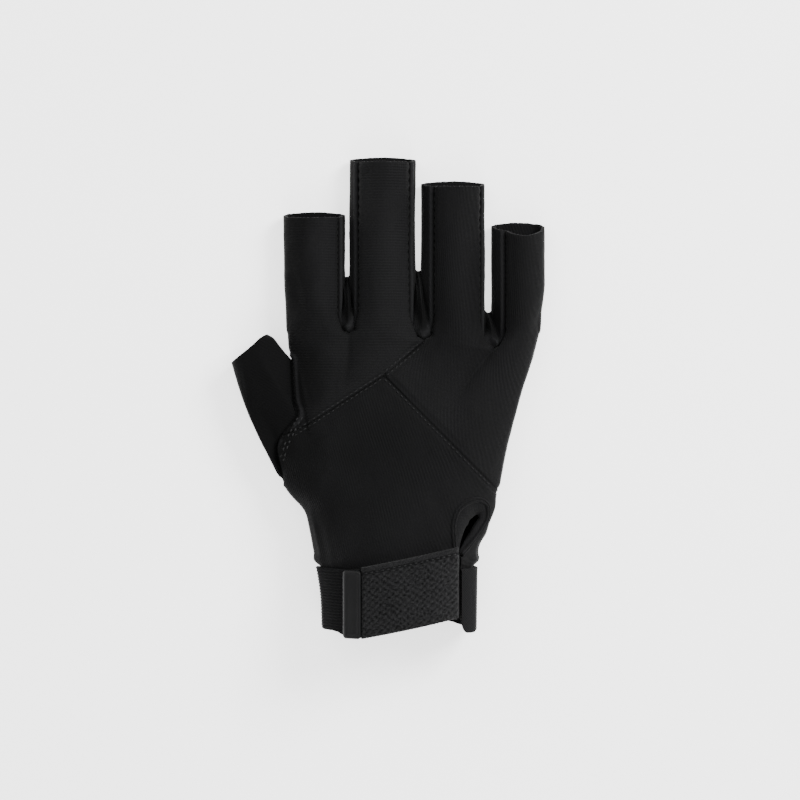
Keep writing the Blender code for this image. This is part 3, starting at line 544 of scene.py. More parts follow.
relief = dict(
    soft=0.00042, softScale=70.0, crumple=0.00010, crumpleScale=330.0,
    # the shadow between two fingers: how far up from the web, how wide, how dark
    gapRise=0.011, gapWide=0.0075, gapShade=0.9,
    # x, y of both ends, width, height (below zero it is a crease), in millimetres on the row frame
    folds=[
        (-9.6, 87.2, -5.2, 91.2, 0.6, -0.40), (-35.7, 11.7, -30.8, -12, 0.8, 0.50),
        (-57.6, 12, -55.6, -2, 0.9, 0.35), (-27, -32, -19, -50, 4, -0.55), (-22, -8, -28, -24, 3, -0.60),
        (-38.6, 50, -34, 30, 2, -0.45), (-32.6, -7.4, -31.4, -16, 0.9, -0.85),
        (-31.4, -16, -27.4, -22.5, 1.6, -0.40), (-36, -4.6, -32, -4.8, 0.5, -0.40),
        (-30.1, -47.8, -26, -66.2, 0.9, 0.36), (-27.6, -49, -24, -66, 1.6, -0.25),
        (-24, 2, -18, 14, 3.4, -0.35), (-16, -44, -15, -60, 5, -0.55), (31, 63, 37, 71, 2.6, -0.35),
        (6.5, 66, 9.5, 50, 1.8, -0.30), (-33, 44, -30, 56, 2.4, -0.30), (36, 18, 42, 8, 2.8, -0.30),
        (12, 24, 18, 12, 2.8, 0.25), (53, 26, 47, 12, 2.2, -0.35), (-52, 3, -41, 6, 2.2, -0.30),
        (-50, -8, -40, -12, 2.4, -0.35), (16, -36, 24, -50, 3, -0.35),
    ],
    # patches of painted shade (darker, below zero) and painted light (lighter): x, y, how far they reach
    # both ways, how much
    patches=[
        (33, -64, 4.5, 5.5, -0.95), (-25, -50, 6.5, 10, -0.55), (-31, -1, 7, 8, -0.18),
        (23, 62, 8, 22, 0.10), (52, 50, 8, 18, 0.07), (-30.5, 62, 6, 14, 0.10),
    ],
    # x, y, how far it reaches both ways, how far it pulls both ways
    pulls=[
        (-38, -20, 5, 8, -4, 0), (-47, 21, 2.6, 2.6, 0.8, 0.6), (-43.5, 18.5, 4, 4, 0.6, 0.5),
        (-16.9, 26, 1.7, 1.7, -1.1, -0.2), (-13.9, 26, 1.7, 1.7, 1.1, -0.2),
        (12.9, 24, 1.7, 1.7, -1.2, -0.2), (16.1, 24, 1.7, 1.7, 1.2, -0.2),
        (38.4, 20.6, 1.7, 1.7, -1.1, -0.2), (41.6, 20.6, 1.7, 1.7, 1.1, -0.2),
        (-28.8, -66, 3.5, 1.7, -0.9, 0), (35.6, -66, 3.5, 1.7, 0.9, 0), (38, -57.5, 3, 5.5, 1.3, 0),
        (-50.5, 21.5, 3.5, 3, 0, 0.7),
    ],
)


def seamSamples(data):
    # points along every seam, with the two panels that meet there
    faceOf = {}
    for face in data.polygons:
        for key in face.edge_keys:
            faceOf.setdefault(key, []).append(face.material_index)
    samples = []
    for (a, b), owners in faceOf.items():
        if len(owners) == 2 and owners[0] != owners[1]:
            first, second = data.vertices[a].co, data.vertices[b].co
            pair = frozenset(owners)
            samples += [(first.copy(), pair), ((first + second) / 2, pair)]
    return samples


def seamKind(ownName, otherName):
    if ownName == "thumb_sleeve":
        return "thumb"
    if otherName == "thumb_sleeve":
        return "besideThumb"
    if ownName.startswith("fourchette"):
        return "web"
    return "finger" if otherName.startswith("fourchette") else "flat"


def beside(lines, distance):
    return sum(amount * bell(distance - off, wide) for amount, off, wide in lines)


def pulled(x, y, z):
    # where a point of the back ends up once the seams are pulled into place, in millimetres
    dx = dy = 0.0
    for px, py, wide, high, moveX, moveY in relief["pulls"]:
        near = bell(x - px, wide) * bell(y - py, high)
        dx += moveX * near
        dy += moveY * near
    share = ease((z - 2.0) / 4.0)
    return dx * share, dy * share


def foldPress(x, y, z):
    # the single folds and creases of the back
    total = 0.0
    for x0, y0, x1, y1, width, height in relief["folds"]:
        dx, dy = x1 - x0, y1 - y0
        t = ((x - x0) * dx + (y - y0) * dy) / (dx * dx + dy * dy)
        if -0.4 < t < 1.4:
            away = math.hypot(x - x0 - t * dx, y - y0 - t * dy)
            total += height * mm * bell(away, width) * ease(1.0 - abs(t - 0.5) * 1.25 + 0.1)
    return total * ease(z / 6.0)


def pressCloth(data):
    points = np.array([v.co for v in data.vertices])
    normals = np.array([v.normal for v in data.vertices])
    owner = [set() for _ in data.vertices]
    for face in data.polygons:
        for i in face.vertices:
            owner[i].add(face.material_index)
    samples = seamSamples(data)
    tree = KDTree(len(samples))
    for i, (co, _) in enumerate(samples):
        tree.insert(co, i)
    tree.balance()
    webs = [back.to_2d() for back, _ in webSpots()]
    press, shade, moves = np.zeros(len(points)), np.zeros(len(points)), []
    for i, co in enumerate(points):
        spot = Vector(co)
        _, at, distance = tree.find(spot)
        pair = samples[at][1]
        own = next(iter(owner[i] & pair or owner[i]))
        other = next((p for p in pair if p != own), own)
        kind = seamKind(panels[own], panels[other])
        press[i] = beside(seams["press"][kind], distance)
        # painted shade in the seam's groove and a painted highlight on the ridges beside it, for the colour
        shade[i] = beside(seams["shade"][kind], distance)
        row = (spot + place) * 1000
        free = ease(distance / 0.004)
        soft = noise.noise(Vector((spot.x, spot.y * 0.55, spot.z)) * relief["softScale"])
        fine = noise.noise(spot * relief["crumpleScale"])
        press[i] += relief["soft"] * soft * free + relief["crumple"] * fine * (0.3 + 0.7 * free)
        press[i] += foldPress(row.x, row.y, row.z)
        # patches of painted shade and painted light
        for x, y, wide, high, much in relief["patches"]:
            shade[i] += much * bell(row.x - x, wide) * bell(row.y - y, high) * (0.7 + 0.6 * soft)
        if kind == "web":
            for web in webs:
                x, y = spot.x - web.x, spot.y - web.y
                pleats = math.cos(math.atan2(x, y + 0.003) * seams["pleats"])
                press[i] += seams["pleat"] * pleats * bell(math.hypot(x, y), seams["pleatReach"])
                # painted shadow in the gap between two fingers
                deep = bell(math.hypot(x * 1.2, y - relief["gapRise"]), relief["gapWide"])
                shade[i] -= relief["gapShade"] * deep * ease(distance / 0.0022 - 0.4)
        if panels[own] == "palm_panel":
            press[i] *= ease(row.z / 1.5)
        moves.append((*pulled(row.x, row.y, row.z), 0.0))
    return points + np.array(moves) * mm, normals, press, shade


points, normals, press, paintedLightAndShade = pressCloth(skin)
outside = points + normals * press[:, None]
inside = points + normals * (press * 0.4 - seams["wall"])[:, None]
edgeOwners = {}
for face in skin.polygons:
    for key in face.edge_keys:
        edgeOwners.setdefault(key, []).append(face.index)
print("seams and folds pressed in")


def makeObject(name, data, looks, smooth=True):
    for look in looks:
        data.materials.append(look)
    if smooth:
        data.shade_smooth()
        data.set_sharp_from_angle(angle=math.radians(60.0))
    thing = bpy.data.objects.new(name, data)
    bpy.context.scene.collection.objects.link(thing)
    return thing


def cutPanel(name, looks):
    # a panel of cloth with its thickness, and the raw cut edge where it has one
    own = panels.index(name)
    faces = [face for face in skin.polygons if face.material_index == own]
    index, spots, shade = {}, [], []

    def vert(kind, i, co):
        key = (kind, i)
        if key not in index:
            index[key] = len(spots)
            spots.append(Vector(co) + place)
            shade.append(paintedLightAndShade[i])
        return index[key]

    made, marks, cutEdges, shared = [], [], [], set()
    for face in faces:
        corners = list(face.vertices)
        made.append([vert("out", i, outside[i]) for i in corners])
        made.append([vert("in", i, inside[i]) for i in reversed(corners)])
        marks += [0, 0]
        for a, b in zip(corners, corners[1:] + corners[:1]):
            owners = edgeOwners[(min(a, b), max(a, b))]
            if len(owners) == 1:
                cutEdges.append((a, b, face))
            elif any(skin.polygons[o].material_index != own for o in owners):
                made.append([vert("out", b, outside[b]), vert("out", a, outside[a]),
                             vert("in", a, inside[a]), vert("in", b, inside[b])])
                marks.append(1)
                shared.update((a, b))
    # the cut edge is round, and a little rough
    away = {}
    for a, b, face in cutEdges:
        run = skin.vertices[b].co - skin.vertices[a].co
        out = run.cross(Vector(normals[a])).normalized()
        if out.dot(face.center - skin.vertices[a].co) > 0:
            out.negate()
        for i in (a, b):
            away[i] = away.get(i, Vector()) + out

    def rim(i, depth, bulge):
        rough = 0.7 + 0.5 * noise.noise(Vector(outside[i]) * 900)
        co = Vector(outside[i]).lerp(Vector(inside[i]), depth)
        return vert(("rim", depth), i, co + away[i].normalized() * bulge * rough)

    def overEdge(i):
        steps = [rim(i, *step) for step in seams["rim"]]
        return [vert("out", i, outside[i])] + steps + [vert("in", i, inside[i])]

    for a, b, _ in cutEdges:
        first, second = overEdge(a), overEdge(b)
        for k in range(len(first) - 1):
            made.append([second[k], first[k], first[k + 1], second[k + 1]])
            marks.append(1)
    for i in away:
        if i in shared and ("out", i) in index:
            made.append(overEdge(i))
            marks.append(1)
    data = turnOut(meshFrom(name, spots, made, marks))
    # the painted light and shade along seams, folds and finger gaps, kept for the cloth's colour
    paintedTone = data.attributes.new("paintedLightAndShade", "FLOAT", "POINT")
    paintedTone.data.foreach_set("value", shade[: len(data.vertices)])
    return makeObject(name + "_cloth", data, looks)


# finishes

class Value:
    # a socket that can be used in sums
    def __init__(self, paint, socket):
        self.paint, self.socket = paint, socket

    def sum(self, how, *parts):
        return self.paint.add("Math", {"operation": how}, dict(enumerate(parts)))

    def __add__(self, other):
        return self.sum("ADD", self, other)

    def __sub__(self, other):
        return self.sum("SUBTRACT", self, other)

    def __rsub__(self, other):
        return self.sum("SUBTRACT", other, self)

    def __mul__(self, other):
        return self.sum("MULTIPLY", self, other)

    __radd__, __rmul__ = __add__, __mul__

    def sine(self):
        return self.sum("SINE", self)

    def clamped(self):
        return self.paint.add("Clamp", {}, {"Value": self})


class Paint:
    # one material and the nodes in it
    def __init__(self, name, **fixed):
        self.material = bpy.data.materials.new(name)
        self.material.use_nodes = True
        self.nodes = self.material.node_tree.nodes
        self.shader = self.nodes["Principled BSDF"]
        for socket, value in fixed.items():
            self.shader.inputs[socket.replace("_", " ")].default_value = value
        self.place = self.add("TexCoord", {}, {}, "Object")

    def add(self, kind, settings, values, take=0):
        node = self.nodes.new("ShaderNode" + kind)
        for key, value in settings.items():
            setattr(node, key, value)
        for key, value in values.items():
            if isinstance(value, Value):
                self.material.node_tree.links.new(value.socket, node.inputs[key])
            else:
                node.inputs[key].default_value = value
        return Value(self, node.outputs[take])

    def grain(self, scale, detail=3.0, stretch=(1, 1, 1), rough=0.5):
        spot = self.add("VectorMath", {"operation": "MULTIPLY"}, {0: self.place, 1: stretch})
        values = {"Vector": spot, "Scale": scale, "Detail": detail, "Roughness": rough}
        return self.add("TexNoise", {}, values, "Fac")

    def apart(self):
        # X, Y and Z in millimetres
        wide = self.add("VectorMath", {"operation": "SCALE"}, {0: self.place, "Scale": 1000.0})
        node = self.add("SeparateXYZ", {}, {0: wide}).socket.node
        return [Value(self, node.outputs[n]) for n in range(3)]

    def colours(self, share, first, second):
        return self.blend(share, (*first, 1.0), (*second, 1.0))

    def blend(self, share, first, second):
        return self.add("Mix", {"data_type": "RGBA"}, {0: share, 6: first, 7: second}, 2)

    def feed(self, socket, value):
        self.material.node_tree.links.new(value.socket, self.shader.inputs[socket])

    def bump(self, height, strength, distance):
        values = {"Height": height, "Strength": strength, "Distance": distance}
        self.feed("Normal", self.add("Bump", {}, values))

    def finish(self, tone, dark, light, rough, height, strength, distance):
        self.feed("Base Color", self.colours(tone, dark, light))
        self.feed("Roughness", rough.clamped())
        self.bump(height, strength, distance)
        return self.material


clothLook = dict(
    # dark and light are the knit's own tones; the third colour is painted light, for the rolled seam ridges
    # and lit patches
    dark=(0.0012, 0.0012, 0.0013), light=(0.0048, 0.0048, 0.0050), paintedLight=(0.0085, 0.0085, 0.0090),
    rough=0.68, roughSwing=0.16, rib=1.12, wale=0.52, relief=0.55, depth=0.00022,
    # on the next line: where the painted shade towards the thumb side starts, in millimetres along X, and
    # how dark it gets
    paintedShadeFrom=36.5, paintedShadeDepth=0.62,
)


def stretchCloth(name, shade, ribs):
    # fine ribbed knit: ribs across the direction given, and thin wales crossing them
    look = clothLook
    paint = Paint(name, Sheen_Weight=0.018, Sheen_Roughness=0.5, Specular_IOR_Level=0.05)
    x, y, z = paint.apart()
    wander = paint.grain(90.0, 2.0, (1.0, 1.0, 0.5)) * 2.4 + paint.grain(420.0, 2.0) * 1.0
    rib = ((x * ribs[0] + y * ribs[1] + z * (ribs[0] * 0.6)) * (2 * math.pi / look["rib"]) + wander).sine()
    wale = ((x * ribs[1] - y * ribs[0] + z * (ribs[1] * 0.6)) * (2 * math.pi / look["wale"]) + wander).sine()
    strength = (paint.grain(75.0, 2.0) * 2.6 - 0.75).clamped()
    weave = rib * strength * 0.75 + wale * 0.35
    cloud = paint.grain(42.0, 4.0, (1.0, 0.6, 1.0))
    fluff = paint.grain(1500.0, 3.0)
    paintedTone = paint.add("Attribute", {"attribute_name": "paintedLightAndShade"}, {}, "Fac")
    tone = (cloud * 1.1 + weave * 0.22 + fluff * 0.55 - 0.36).clamped()
    dark = tuple(c * shade for c in look["dark"])
    light = tuple(c * shade for c in look["light"])
    base = paint.colours(tone, dark, light)
    # painted shade: darker towards the thumb side, in blotches from the cloud noise, where the cloth faces
    # away from the lamps
    side = ((x + look["paintedShadeFrom"]) * 0.085 + (cloud - 0.5) * 3.0).clamped()
    base = paint.blend(1.0 - side, base, paint.blend(look["paintedShadeDepth"], base, (0.0, 0.0, 0.0, 1.0)))
    # painted light on the rolled seam ridges and lit patches; painted shade, near black, in the grooves, the
    # finger gaps and the shaded patches
    paintedLight = (*(c * shade for c in look["paintedLight"]), 1.0)
    litBase = paint.blend((paintedTone * (fluff * 0.8 + 0.5)).clamped(), base, paintedLight)
    paint.feed("Base Color", paint.blend((paintedTone * -0.85).clamped(), litBase, (0.0002, 0.0002, 0.0002, 1.0)))
    paint.feed("Roughness", (cloud * look["roughSwing"] + look["rough"]).clamped())
    paint.bump(weave * 0.6 + fluff * 0.6, look["relief"], look["depth"])
    return paint.material


def foamEdge(name):
    # the raw cut edge: a lighter, crumbly core
    paint = Paint(name, Specular_IOR_Level=0.08)
    crumb = paint.grain(2300.0, 4.0)
    dark, light = (0.0012, 0.0012, 0.0012), (0.0070, 0.0070, 0.0072)
    return paint.finish(crumb, dark, light, crumb * 0.2 + 0.7, crumb, 0.5, 0.0003)


def ribbedBand(name):
    # ribs round the wrist, and a fine twill on the short end beside the slit
    paint = Paint(name, Sheen_Weight=0.006, Sheen_Roughness=0.5, Specular_IOR_Level=0.03)
    x, y, z = paint.apart()
    end = ((x - (band["slit"] + place.x) * 1000) * 1.5 + 0.5).clamped() * (z * 0.2 - 1.6).clamped()
    turn = 2 * math.pi / 1.05
    twill = ((x - z * 0.4) * turn).sine() * (y * turn).sine()
    rib = (y * (2 * math.pi / (band["ribEvery"] * 1000))).sine() * (1.0 - end)
    fluff = paint.grain(1700.0, 3.0)
    cloud = paint.grain(60.0, 3.0)
    weave = twill * (end * 0.85 + 0.10) + rib * 0.10
    tone = (cloud * 0.5 + weave + fluff * 0.6 + end * 0.26 - 0.20).clamped()
    dark, light = (0.0005, 0.0005, 0.0006), (0.0078, 0.0078, 0.0081)
    return paint.finish(tone, dark, light, fluff * 0.2 + 0.68, twill * 0.6 + fluff * 0.6, 0.45, 0.00018)


def loopPile(name):
    # the strap's coarse loops, with painted light and shade: lighter where a loop stands up, darker in the
    # hollows and in the groove along the hem
    paint = Paint(name, Sheen_Weight=0.02, Sheen_Roughness=0.6, Specular_IOR_Level=0.05)
    stand = paint.add("Attribute", {"attribute_name": "loopHeight"}, {}, "Fac")
    hairs = paint.grain(1300.0, 4.0, (0.6, 1.0, 1.0), 0.6)
    cloud = paint.grain(80.0, 2.0)
    tone = (stand * 0.62 + hairs * 0.85 + cloud * 0.3 - 0.48).clamped()
    dark, light = (0.0010, 0.0010, 0.0011), (0.0165, 0.0165, 0.0170)
    return paint.finish(tone, dark, light, hairs * 0.2 + 0.75, hairs, 0.7, 0.0004)


def mouldedRubber(name):
    paint = Paint(name, Specular_IOR_Level=0.10)
    cloud, grit = paint.grain(120.0, 3.0), paint.grain(1500.0, 3.0)
    tone = (cloud * 0.7 + grit * 0.3).clamped()
    dark, light = (0.0032, 0.0032, 0.0034), (0.0074, 0.0074, 0.0077)
    return paint.finish(tone, dark, light, cloud * 0.16 + grit * 0.1 + 0.38, grit, 0.12, 0.0002)


def sewingThread(name, dark, light):
    paint = Paint(name, Sheen_Weight=0.02, Specular_IOR_Level=0.08)
    strands = paint.grain(3800.0, 2.0)
    return paint.finish(strands, dark, light, strands * 0.2 + 0.5, strands, 0.3, 0.0001)


cloth = stretchCloth("stretch_cloth", 1.12, (0.94, 0.34))
upperCloth = stretchCloth("upper_cloth", 1.50, (0.0, 1.0))
outerCloth = stretchCloth("outer_cloth", 1.20, (1.0, 0.12))
thumbCloth = stretchCloth("thumb_cloth", 1.25, (0.5, 0.87))
facingCloth = stretchCloth("facing_cloth", 1.3, (0.0, 1.0))
core = foamEdge("cut_edge")
bandKnit = ribbedBand("band_knit")
pile = loopPile("strap_loops")
rubber = mouldedRubber("tab_rubber")
thread = sewingThread("seam_thread", (0.0040, 0.0040, 0.0042), (0.0165, 0.0165, 0.0170))
paleThread = sewingThread("thumb_thread", (0.0055, 0.0055, 0.0058), (0.0190, 0.0190, 0.0195))
print("finishes mixed")


def settle(thing, nodes, slot):
    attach(thing, "root")
    if nodes:
        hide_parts(*nodes)
    return thing


# the keyhole vent and its binding

vent = dict(
    length=0.0212, width=0.0140, foot=0.0320, tube=0.0012, sink=0.0004, tuck=0.0007, depth=0.008,
    sides=24, steps=8, groove=0.42, grooveWide=0.30, uneven=0.05, flat=0.9, facing=0.0060, fall=0.80,
    facingRows=6, facingShare=0.46, facingWall=0.0008,
    # the binding's route: share across from the slit, share up from the foot
    route=[(-0.13, 0.00), (-0.17, 0.28), (-0.17, 0.55), (-0.04, 0.79), (0.24, 0.93), (0.55, 0.97),
           (0.80, 0.86), (0.80, 0.62), (0.57, 0.36), (0.30, 0.13), (0.07, -0.03)],
)


def ventFrames():
    table = [(i, *row) for i, row in enumerate(vent["route"])]
    spots = []
    for n in range((len(table) - 1) * vent["steps"] + 1):
        at = n / vent["steps"]
        x = band["slit"] + readTable(table, 1, at) * vent["width"]
        y = vent["foot"] + readTable(table, 2, at) * vent["length"]
        spots.append(onBack(x, y))
    frames = []
    for i, spot in enumerate(spots):
        run = spots[min(i + 1, len(spots) - 1)] - spots[max(i - 1, 0)]
        normal = backNormal(spot.x, spot.y)
        frames.append((spot, normal, normal.cross(run).normalized()))
    return frames


def cutVent(panel):
    frames = ventFrames()
    around = [spot + side * vent["tuck"] for spot, _, side in frames]
    low = min(around[0].y, around[-1].y) - vent["tuck"]
    left, right = band["slit"] - band["slitWidth"] / 2, band["slit"] + band["slitWidth"] / 2
    corners = [(around[-1].x, low), (right, low), (right, 0.0), (left, 0.0), (left, low), (around[0].x, low)]
    line = around + [onBack(x, y) for x, y in corners]
    middle = onBack(band["slit"] + vent["width"] * 0.3, vent["foot"] + vent["length"] * 0.5)
    normal = backNormal(middle.x, middle.y)
    count = len(line)
    spots = []
    for level in (-vent["depth"], vent["depth"]):
        spots += [p + normal * (level - (p - middle).dot(normal)) + place for p in line]
    faces = [list(range(count)), list(range(2 * count - 1, count - 1, -1))]
    faces += [(i, (i + 1) % count, count + (i + 1) % count, count + i) for i in range(count)]
    tool = bpy.data.objects.new("vent", turnOut(meshFrom("vent", spots, faces)))
    bpy.context.scene.collection.objects.link(tool)
    cut = panel.modifiers.new("vent", "BOOLEAN")
    cut.operation, cut.solver, cut.object = "DIFFERENCE", "EXACT", tool
    panel.data = applied(panel)
    panel.modifiers.clear()
    bpy.data.objects.remove(tool, do_unlink=True)
    panel.data.shade_smooth()
    panel.data.set_sharp_from_angle(angle=math.radians(60.0))


def ringFaces(first, rings, sides):
    # the faces over rings of points, closed at both ends
    starts = [first + n * sides for n in range(rings)]
    faces = [(a + i, a + (i + 1) % sides, a + sides + (i + 1) % sides, a + sides + i)
             for a in starts[:-1] for i in range(sides)]
    return faces + [list(range(a, a + sides)) for a in (starts[0], starts[-1])]


def rollBinding():
    # a slightly uneven tube along the vent's edge, with a groove along its top
    frames, sides, spots = ventFrames(), vent["sides"], []
    for n, (spot, normal, side) in enumerate(frames):
        middle = spot - normal * vent["sink"]
        for i in range(sides):
            angle = 2 * math.pi * i / sides
            swell = 1.0 + vent["uneven"] * noise.noise(Vector((n * 0.5, i * 0.4, 3.0)))
            swell -= vent["groove"] * bell(angle - math.pi / 2, vent["grooveWide"])
            offset = side * math.cos(angle) + normal * math.sin(angle) * vent["flat"]
            spots.append(middle + offset * vent["tube"] * swell + place)
    return turnOut(meshFrom("vent_binding", spots, ringFaces(0, len(frames), sides)))


madePanels = {}
for name in panels:
    look = {"thumb_sleeve": thumbCloth, "back_upper_panel": upperCloth, "back_outer_panel": outerCloth}
    madePanels[name] = cutPanel(name, [look.get(name, cloth), core])
cutVent(madePanels["back_lower_panel"])
for name, thing in madePanels.items():
    settle(thing, [name], "thumb_cloth" if name == "thumb_sleeve" else "stretch_cloth")
print("panels cut:", sum(len(thing.data.polygons) for thing in madePanels.values()), "faces")


# the wrist band

def wristRing(y):
    left, right = edges(y)
    columns = 4 * grid["back"]
    ring = []
    for c in range(columns + 1):
        x = mix(left + hand["sideInset"], right - hand["sideInset"], c / columns)
        ring.append((x, backHeight(x, y)))
    floor = floorHeight(y)
    high, low = sideHeight(y), floor + hand["edgeLift"]
    ring += [(p.x, p.z) for p in sidePoints(right, 1, y, y, hand["sideInset"], high, low)[1:]]
    columns = 4 * grid["palm"]
    for c in range(1, columns):
        ring.append((mix(right - hand["palmInset"], left + hand["palmInset"], c / columns), floor))
    ring += [(p.x, p.z) for p in reversed(sidePoints(left, -1, y, y, hand["sideInset"], high, low)[1:])]
    return ring


def lifted(ring, distance):
    # the section moved outwards
    ring = np.array(ring)
    before, after = np.roll(ring, 1, axis=0), np.roll(ring, -1, axis=0)
    first, second = ring - before, after - ring
    first /= np.linalg.norm(first, axis=1)[:, None]
    second /= np.linalg.norm(second, axis=1)[:, None]
    total = np.stack([-(first + second)[:, 1], (first + second)[:, 0]], axis=1)
    return ring + total * (2 * distance / (total**2).sum(axis=1))[:, None]


class WristSections:
    # sections of the wrist at many heights, read in between
    def __init__(self, low, high, count):
        self.heights = np.linspace(low, high, count)
        self.rings = [wristRing(y) for y in self.heights]
        self.known = {}

    def at(self, lift):
        if lift not in self.known:
            self.known[lift] = [lifted(ring, lift) for ring in self.rings]
        return self.known[lift]

    def between(self, y):
        i = int(np.clip(np.searchsorted(self.heights, y) - 1, 0, len(self.heights) - 2))
        return i, (y - self.heights[i]) / (self.heights[i + 1] - self.heights[i])

    def top(self, x, y, lift):
        # the height of the back of the wrist at a point, lifted off it
        i, t = self.between(y)
        last = 4 * grid["back"] + 1
        found = []
        for ring in self.at(lift)[i : i + 2]:
            found.append(float(np.interp(x, ring[:last, 0], ring[:last, 1])))
        return mix(found[0], found[1], t)

    def loops(self, lift):
        # from the slit round the wrist and back to it, evenly spaced, one loop for each height
        loops = []
        last = 4 * grid["back"]
        start, stop = band["slit"] + band["bandGap"] / 2, band["slit"] - band["bandGap"] / 2
        for ring in self.at(lift):
            back, rest = ring[: last + 1], ring[last + 1 :]
            outer, inner = ([(x, np.interp(x, back[:, 0], back[:, 1])) for x in np.linspace(*span)]
                            for span in ((start, back[-1, 0], 14), (back[0, 0], stop, 90)))
            line = np.array(outer + [tuple(p) for p in rest] + inner)
            runs = np.concatenate([[0], np.cumsum(np.linalg.norm(np.diff(line, axis=0), axis=1))])
            even = np.linspace(0, runs[-1], band["columns"] + 1)
            loops.append(np.stack([np.interp(even, runs, line[:, n]) for n in (0, 1)], axis=1))
        return loops


sections = WristSections(band["lowest"], band["highest"], band["sections"])


def quarterRound(near):
    # rises from 0 at an edge to 1 where near is one, as a quarter of a circle
    return math.sqrt(max(1.0 - (1.0 - min(near, 1.0)) ** 2, 0.0))


def roundedProfile(along, ends):
    # 0 at both ends of a strip and 1 inside it
    return quarterRound(min(along, 1.0 - along) / ends)


def stripMesh(name, columns, rows, pair):
    # a closed strip; pair gives the point of its upper and of its lower face at a column and a row
    both = [pair(c, r) for c in range(columns + 1) for r in range(rows + 1)]
    spots = [upper for upper, _ in both] + [lower for _, lower in both]
    lines = [list(range(n * (rows + 1), (n + 1) * (rows + 1))) for n in range(2 * (columns + 1))]
    top, under = lines[: columns + 1], lines[columns + 1 :]
    pairs = [step for side in (top, under) for step in zip(side, side[1:])]
    for end in (0, -1):
        pairs.append((top[end], under[end]))
        pairs.append(([line[end] for line in top], [line[end] for line in under]))
    faces = [(a[i], a[i + 1], b[i + 1], b[i]) for a, b in pairs for i in range(len(a) - 1)]
    return turnOut(meshFrom(name, spots, faces))


def knitBand():
    inner, outer = sections.loops(band["gap"]), sections.loops(band["gap"] + band["wall"])

    def pair(c, r):
        share, along = c / band["columns"], r / band["rows"]
        low, high = (band["height"] * readTable(band["edges"], n, share) for n in (1, 2))
        y = mix(low, high, along)
        wave = band["wave"] * noise.noise(Vector((share * 60, along * 3, 1.0)))
        i, t = sections.between(y)
        a, b = (loops[i][c] * (1 - t) + loops[i + 1][c] * t for loops in (inner, outer))
        rib = math.sin(2 * math.pi * y / band["ribEvery"]) * band["ribDepth"] / band["wall"]
        rib *= ease((share - 0.10) / 0.04)
        full = 0.55 + 0.45 * roundedProfile(along, 0.035) * roundedProfile(share, 0.006)
        top = a + (b - a) * (full + rib * (0.5 + 0.5 * full) - 0.04)
        under = a + (b - a) * (1 - full) * 0.5
        return [Vector((p[0], y + wave, p[1])) + place for p in (top, under)]

    return stripMesh("wrist_band", band["columns"], band["rows"], pair)


def foldFacing():
    # the edge that is folded in under the binding, seen inside the vent
    frames = ventFrames()
    up = Vector((0.0, 0.0, 1.0))

    def pair(n, k):
        spot, _, side = frames[n]
        t = k / vent["facingRows"]
        others = (other[0] for m, other in enumerate(frames) if abs(m - n) > 3 * vent["steps"])
        reach = min(vent["facing"], vent["facingShare"] * min((spot - other).length for other in others))
        wave = 0.0003 * noise.noise(Vector((n * 0.13, t * 2, 4.0)))
        out = vent["tuck"] * 0.6 + reach * math.sin(t * math.pi / 2)
        drop = 0.0004 + reach * vent["fall"] * (1.0 - math.cos(t * math.pi / 2)) + wave
        return (spot - side * out - up * drop + place,
                spot - side * (out - 0.0005 * t) - up * (drop + vent["facingWall"]) + place)

    return stripMesh("vent_facing", len(frames) - 1, vent["facingRows"], pair)


binding = settle(makeObject("vent_binding", rollBinding(), [cloth]), ["slit_binding"], "stretch_cloth")
facing = settle(makeObject("vent_facing", foldFacing(), [facingCloth]), [], "stretch_cloth")
wristBand = settle(makeObject("wrist_band", knitBand(), [bandKnit]), ["wrist_cuff"], "band_weave")


# the closing strap and its tab

strap = dict(length=0.0379, width=0.0279, rise=0.0078, drop=0.0010, thick=0.0020, lift=0.0028,
             columns=190, rows=130, hem=0.0026, flare=-0.0001, tuft=0.00030, fray=0.00016)

tab = dict(width=0.0072, length=0.0266, thick=0.0027, corner=0.0014, gap=0.0001, columns=28, rows=84,
           edge=0.0009, rim=0.0012, dish=0.00022, dishRun=0.0006)


def strapPoint(share, along, height):
    # a point on the strap: share from its free end to the slit, along its width, height over its underside
    x = band["slit"] - band["slitWidth"] / 2 - strap["length"] * (1.0 - share)
    low = strap["rise"] * share - strap["drop"]
    y = low + (strap["width"] + strap["flare"] * share) * along
    return Vector((x, y, sections.top(x, y, strap["lift"]) + height)) + place


def loopHeight(x, v, fromTop):
    # 0 in the hollows between the loops and 1 on top of them; finer on the hem. Millimetres
    swirl = noise.noise(Vector((x * 0.35, v * 0.35, 5.0))) * 2.2
    loops = math.cos(2 * math.pi * (x / 3.1 + 0.10 * swirl))
    loops *= math.cos(2 * math.pi * (v / 2.5 + 0.16 * swirl))
    fray = noise.noise(Vector((x * 1.4, v * 1.9, 9.0)))
    coarse = 0.5 + 0.36 * loops + 0.62 * fray
    fine = 0.55 + 0.55 * noise.noise(Vector((x * 1.9, v * 3.2, 3.0)))
    height = mix(fine, coarse, ease((fromTop - strap["hem"] * 1000) / 0.5 + 0.5))
    return min(max(height - bell(fromTop - strap["hem"] * 1000, 0.42), 0.0), 1.0)


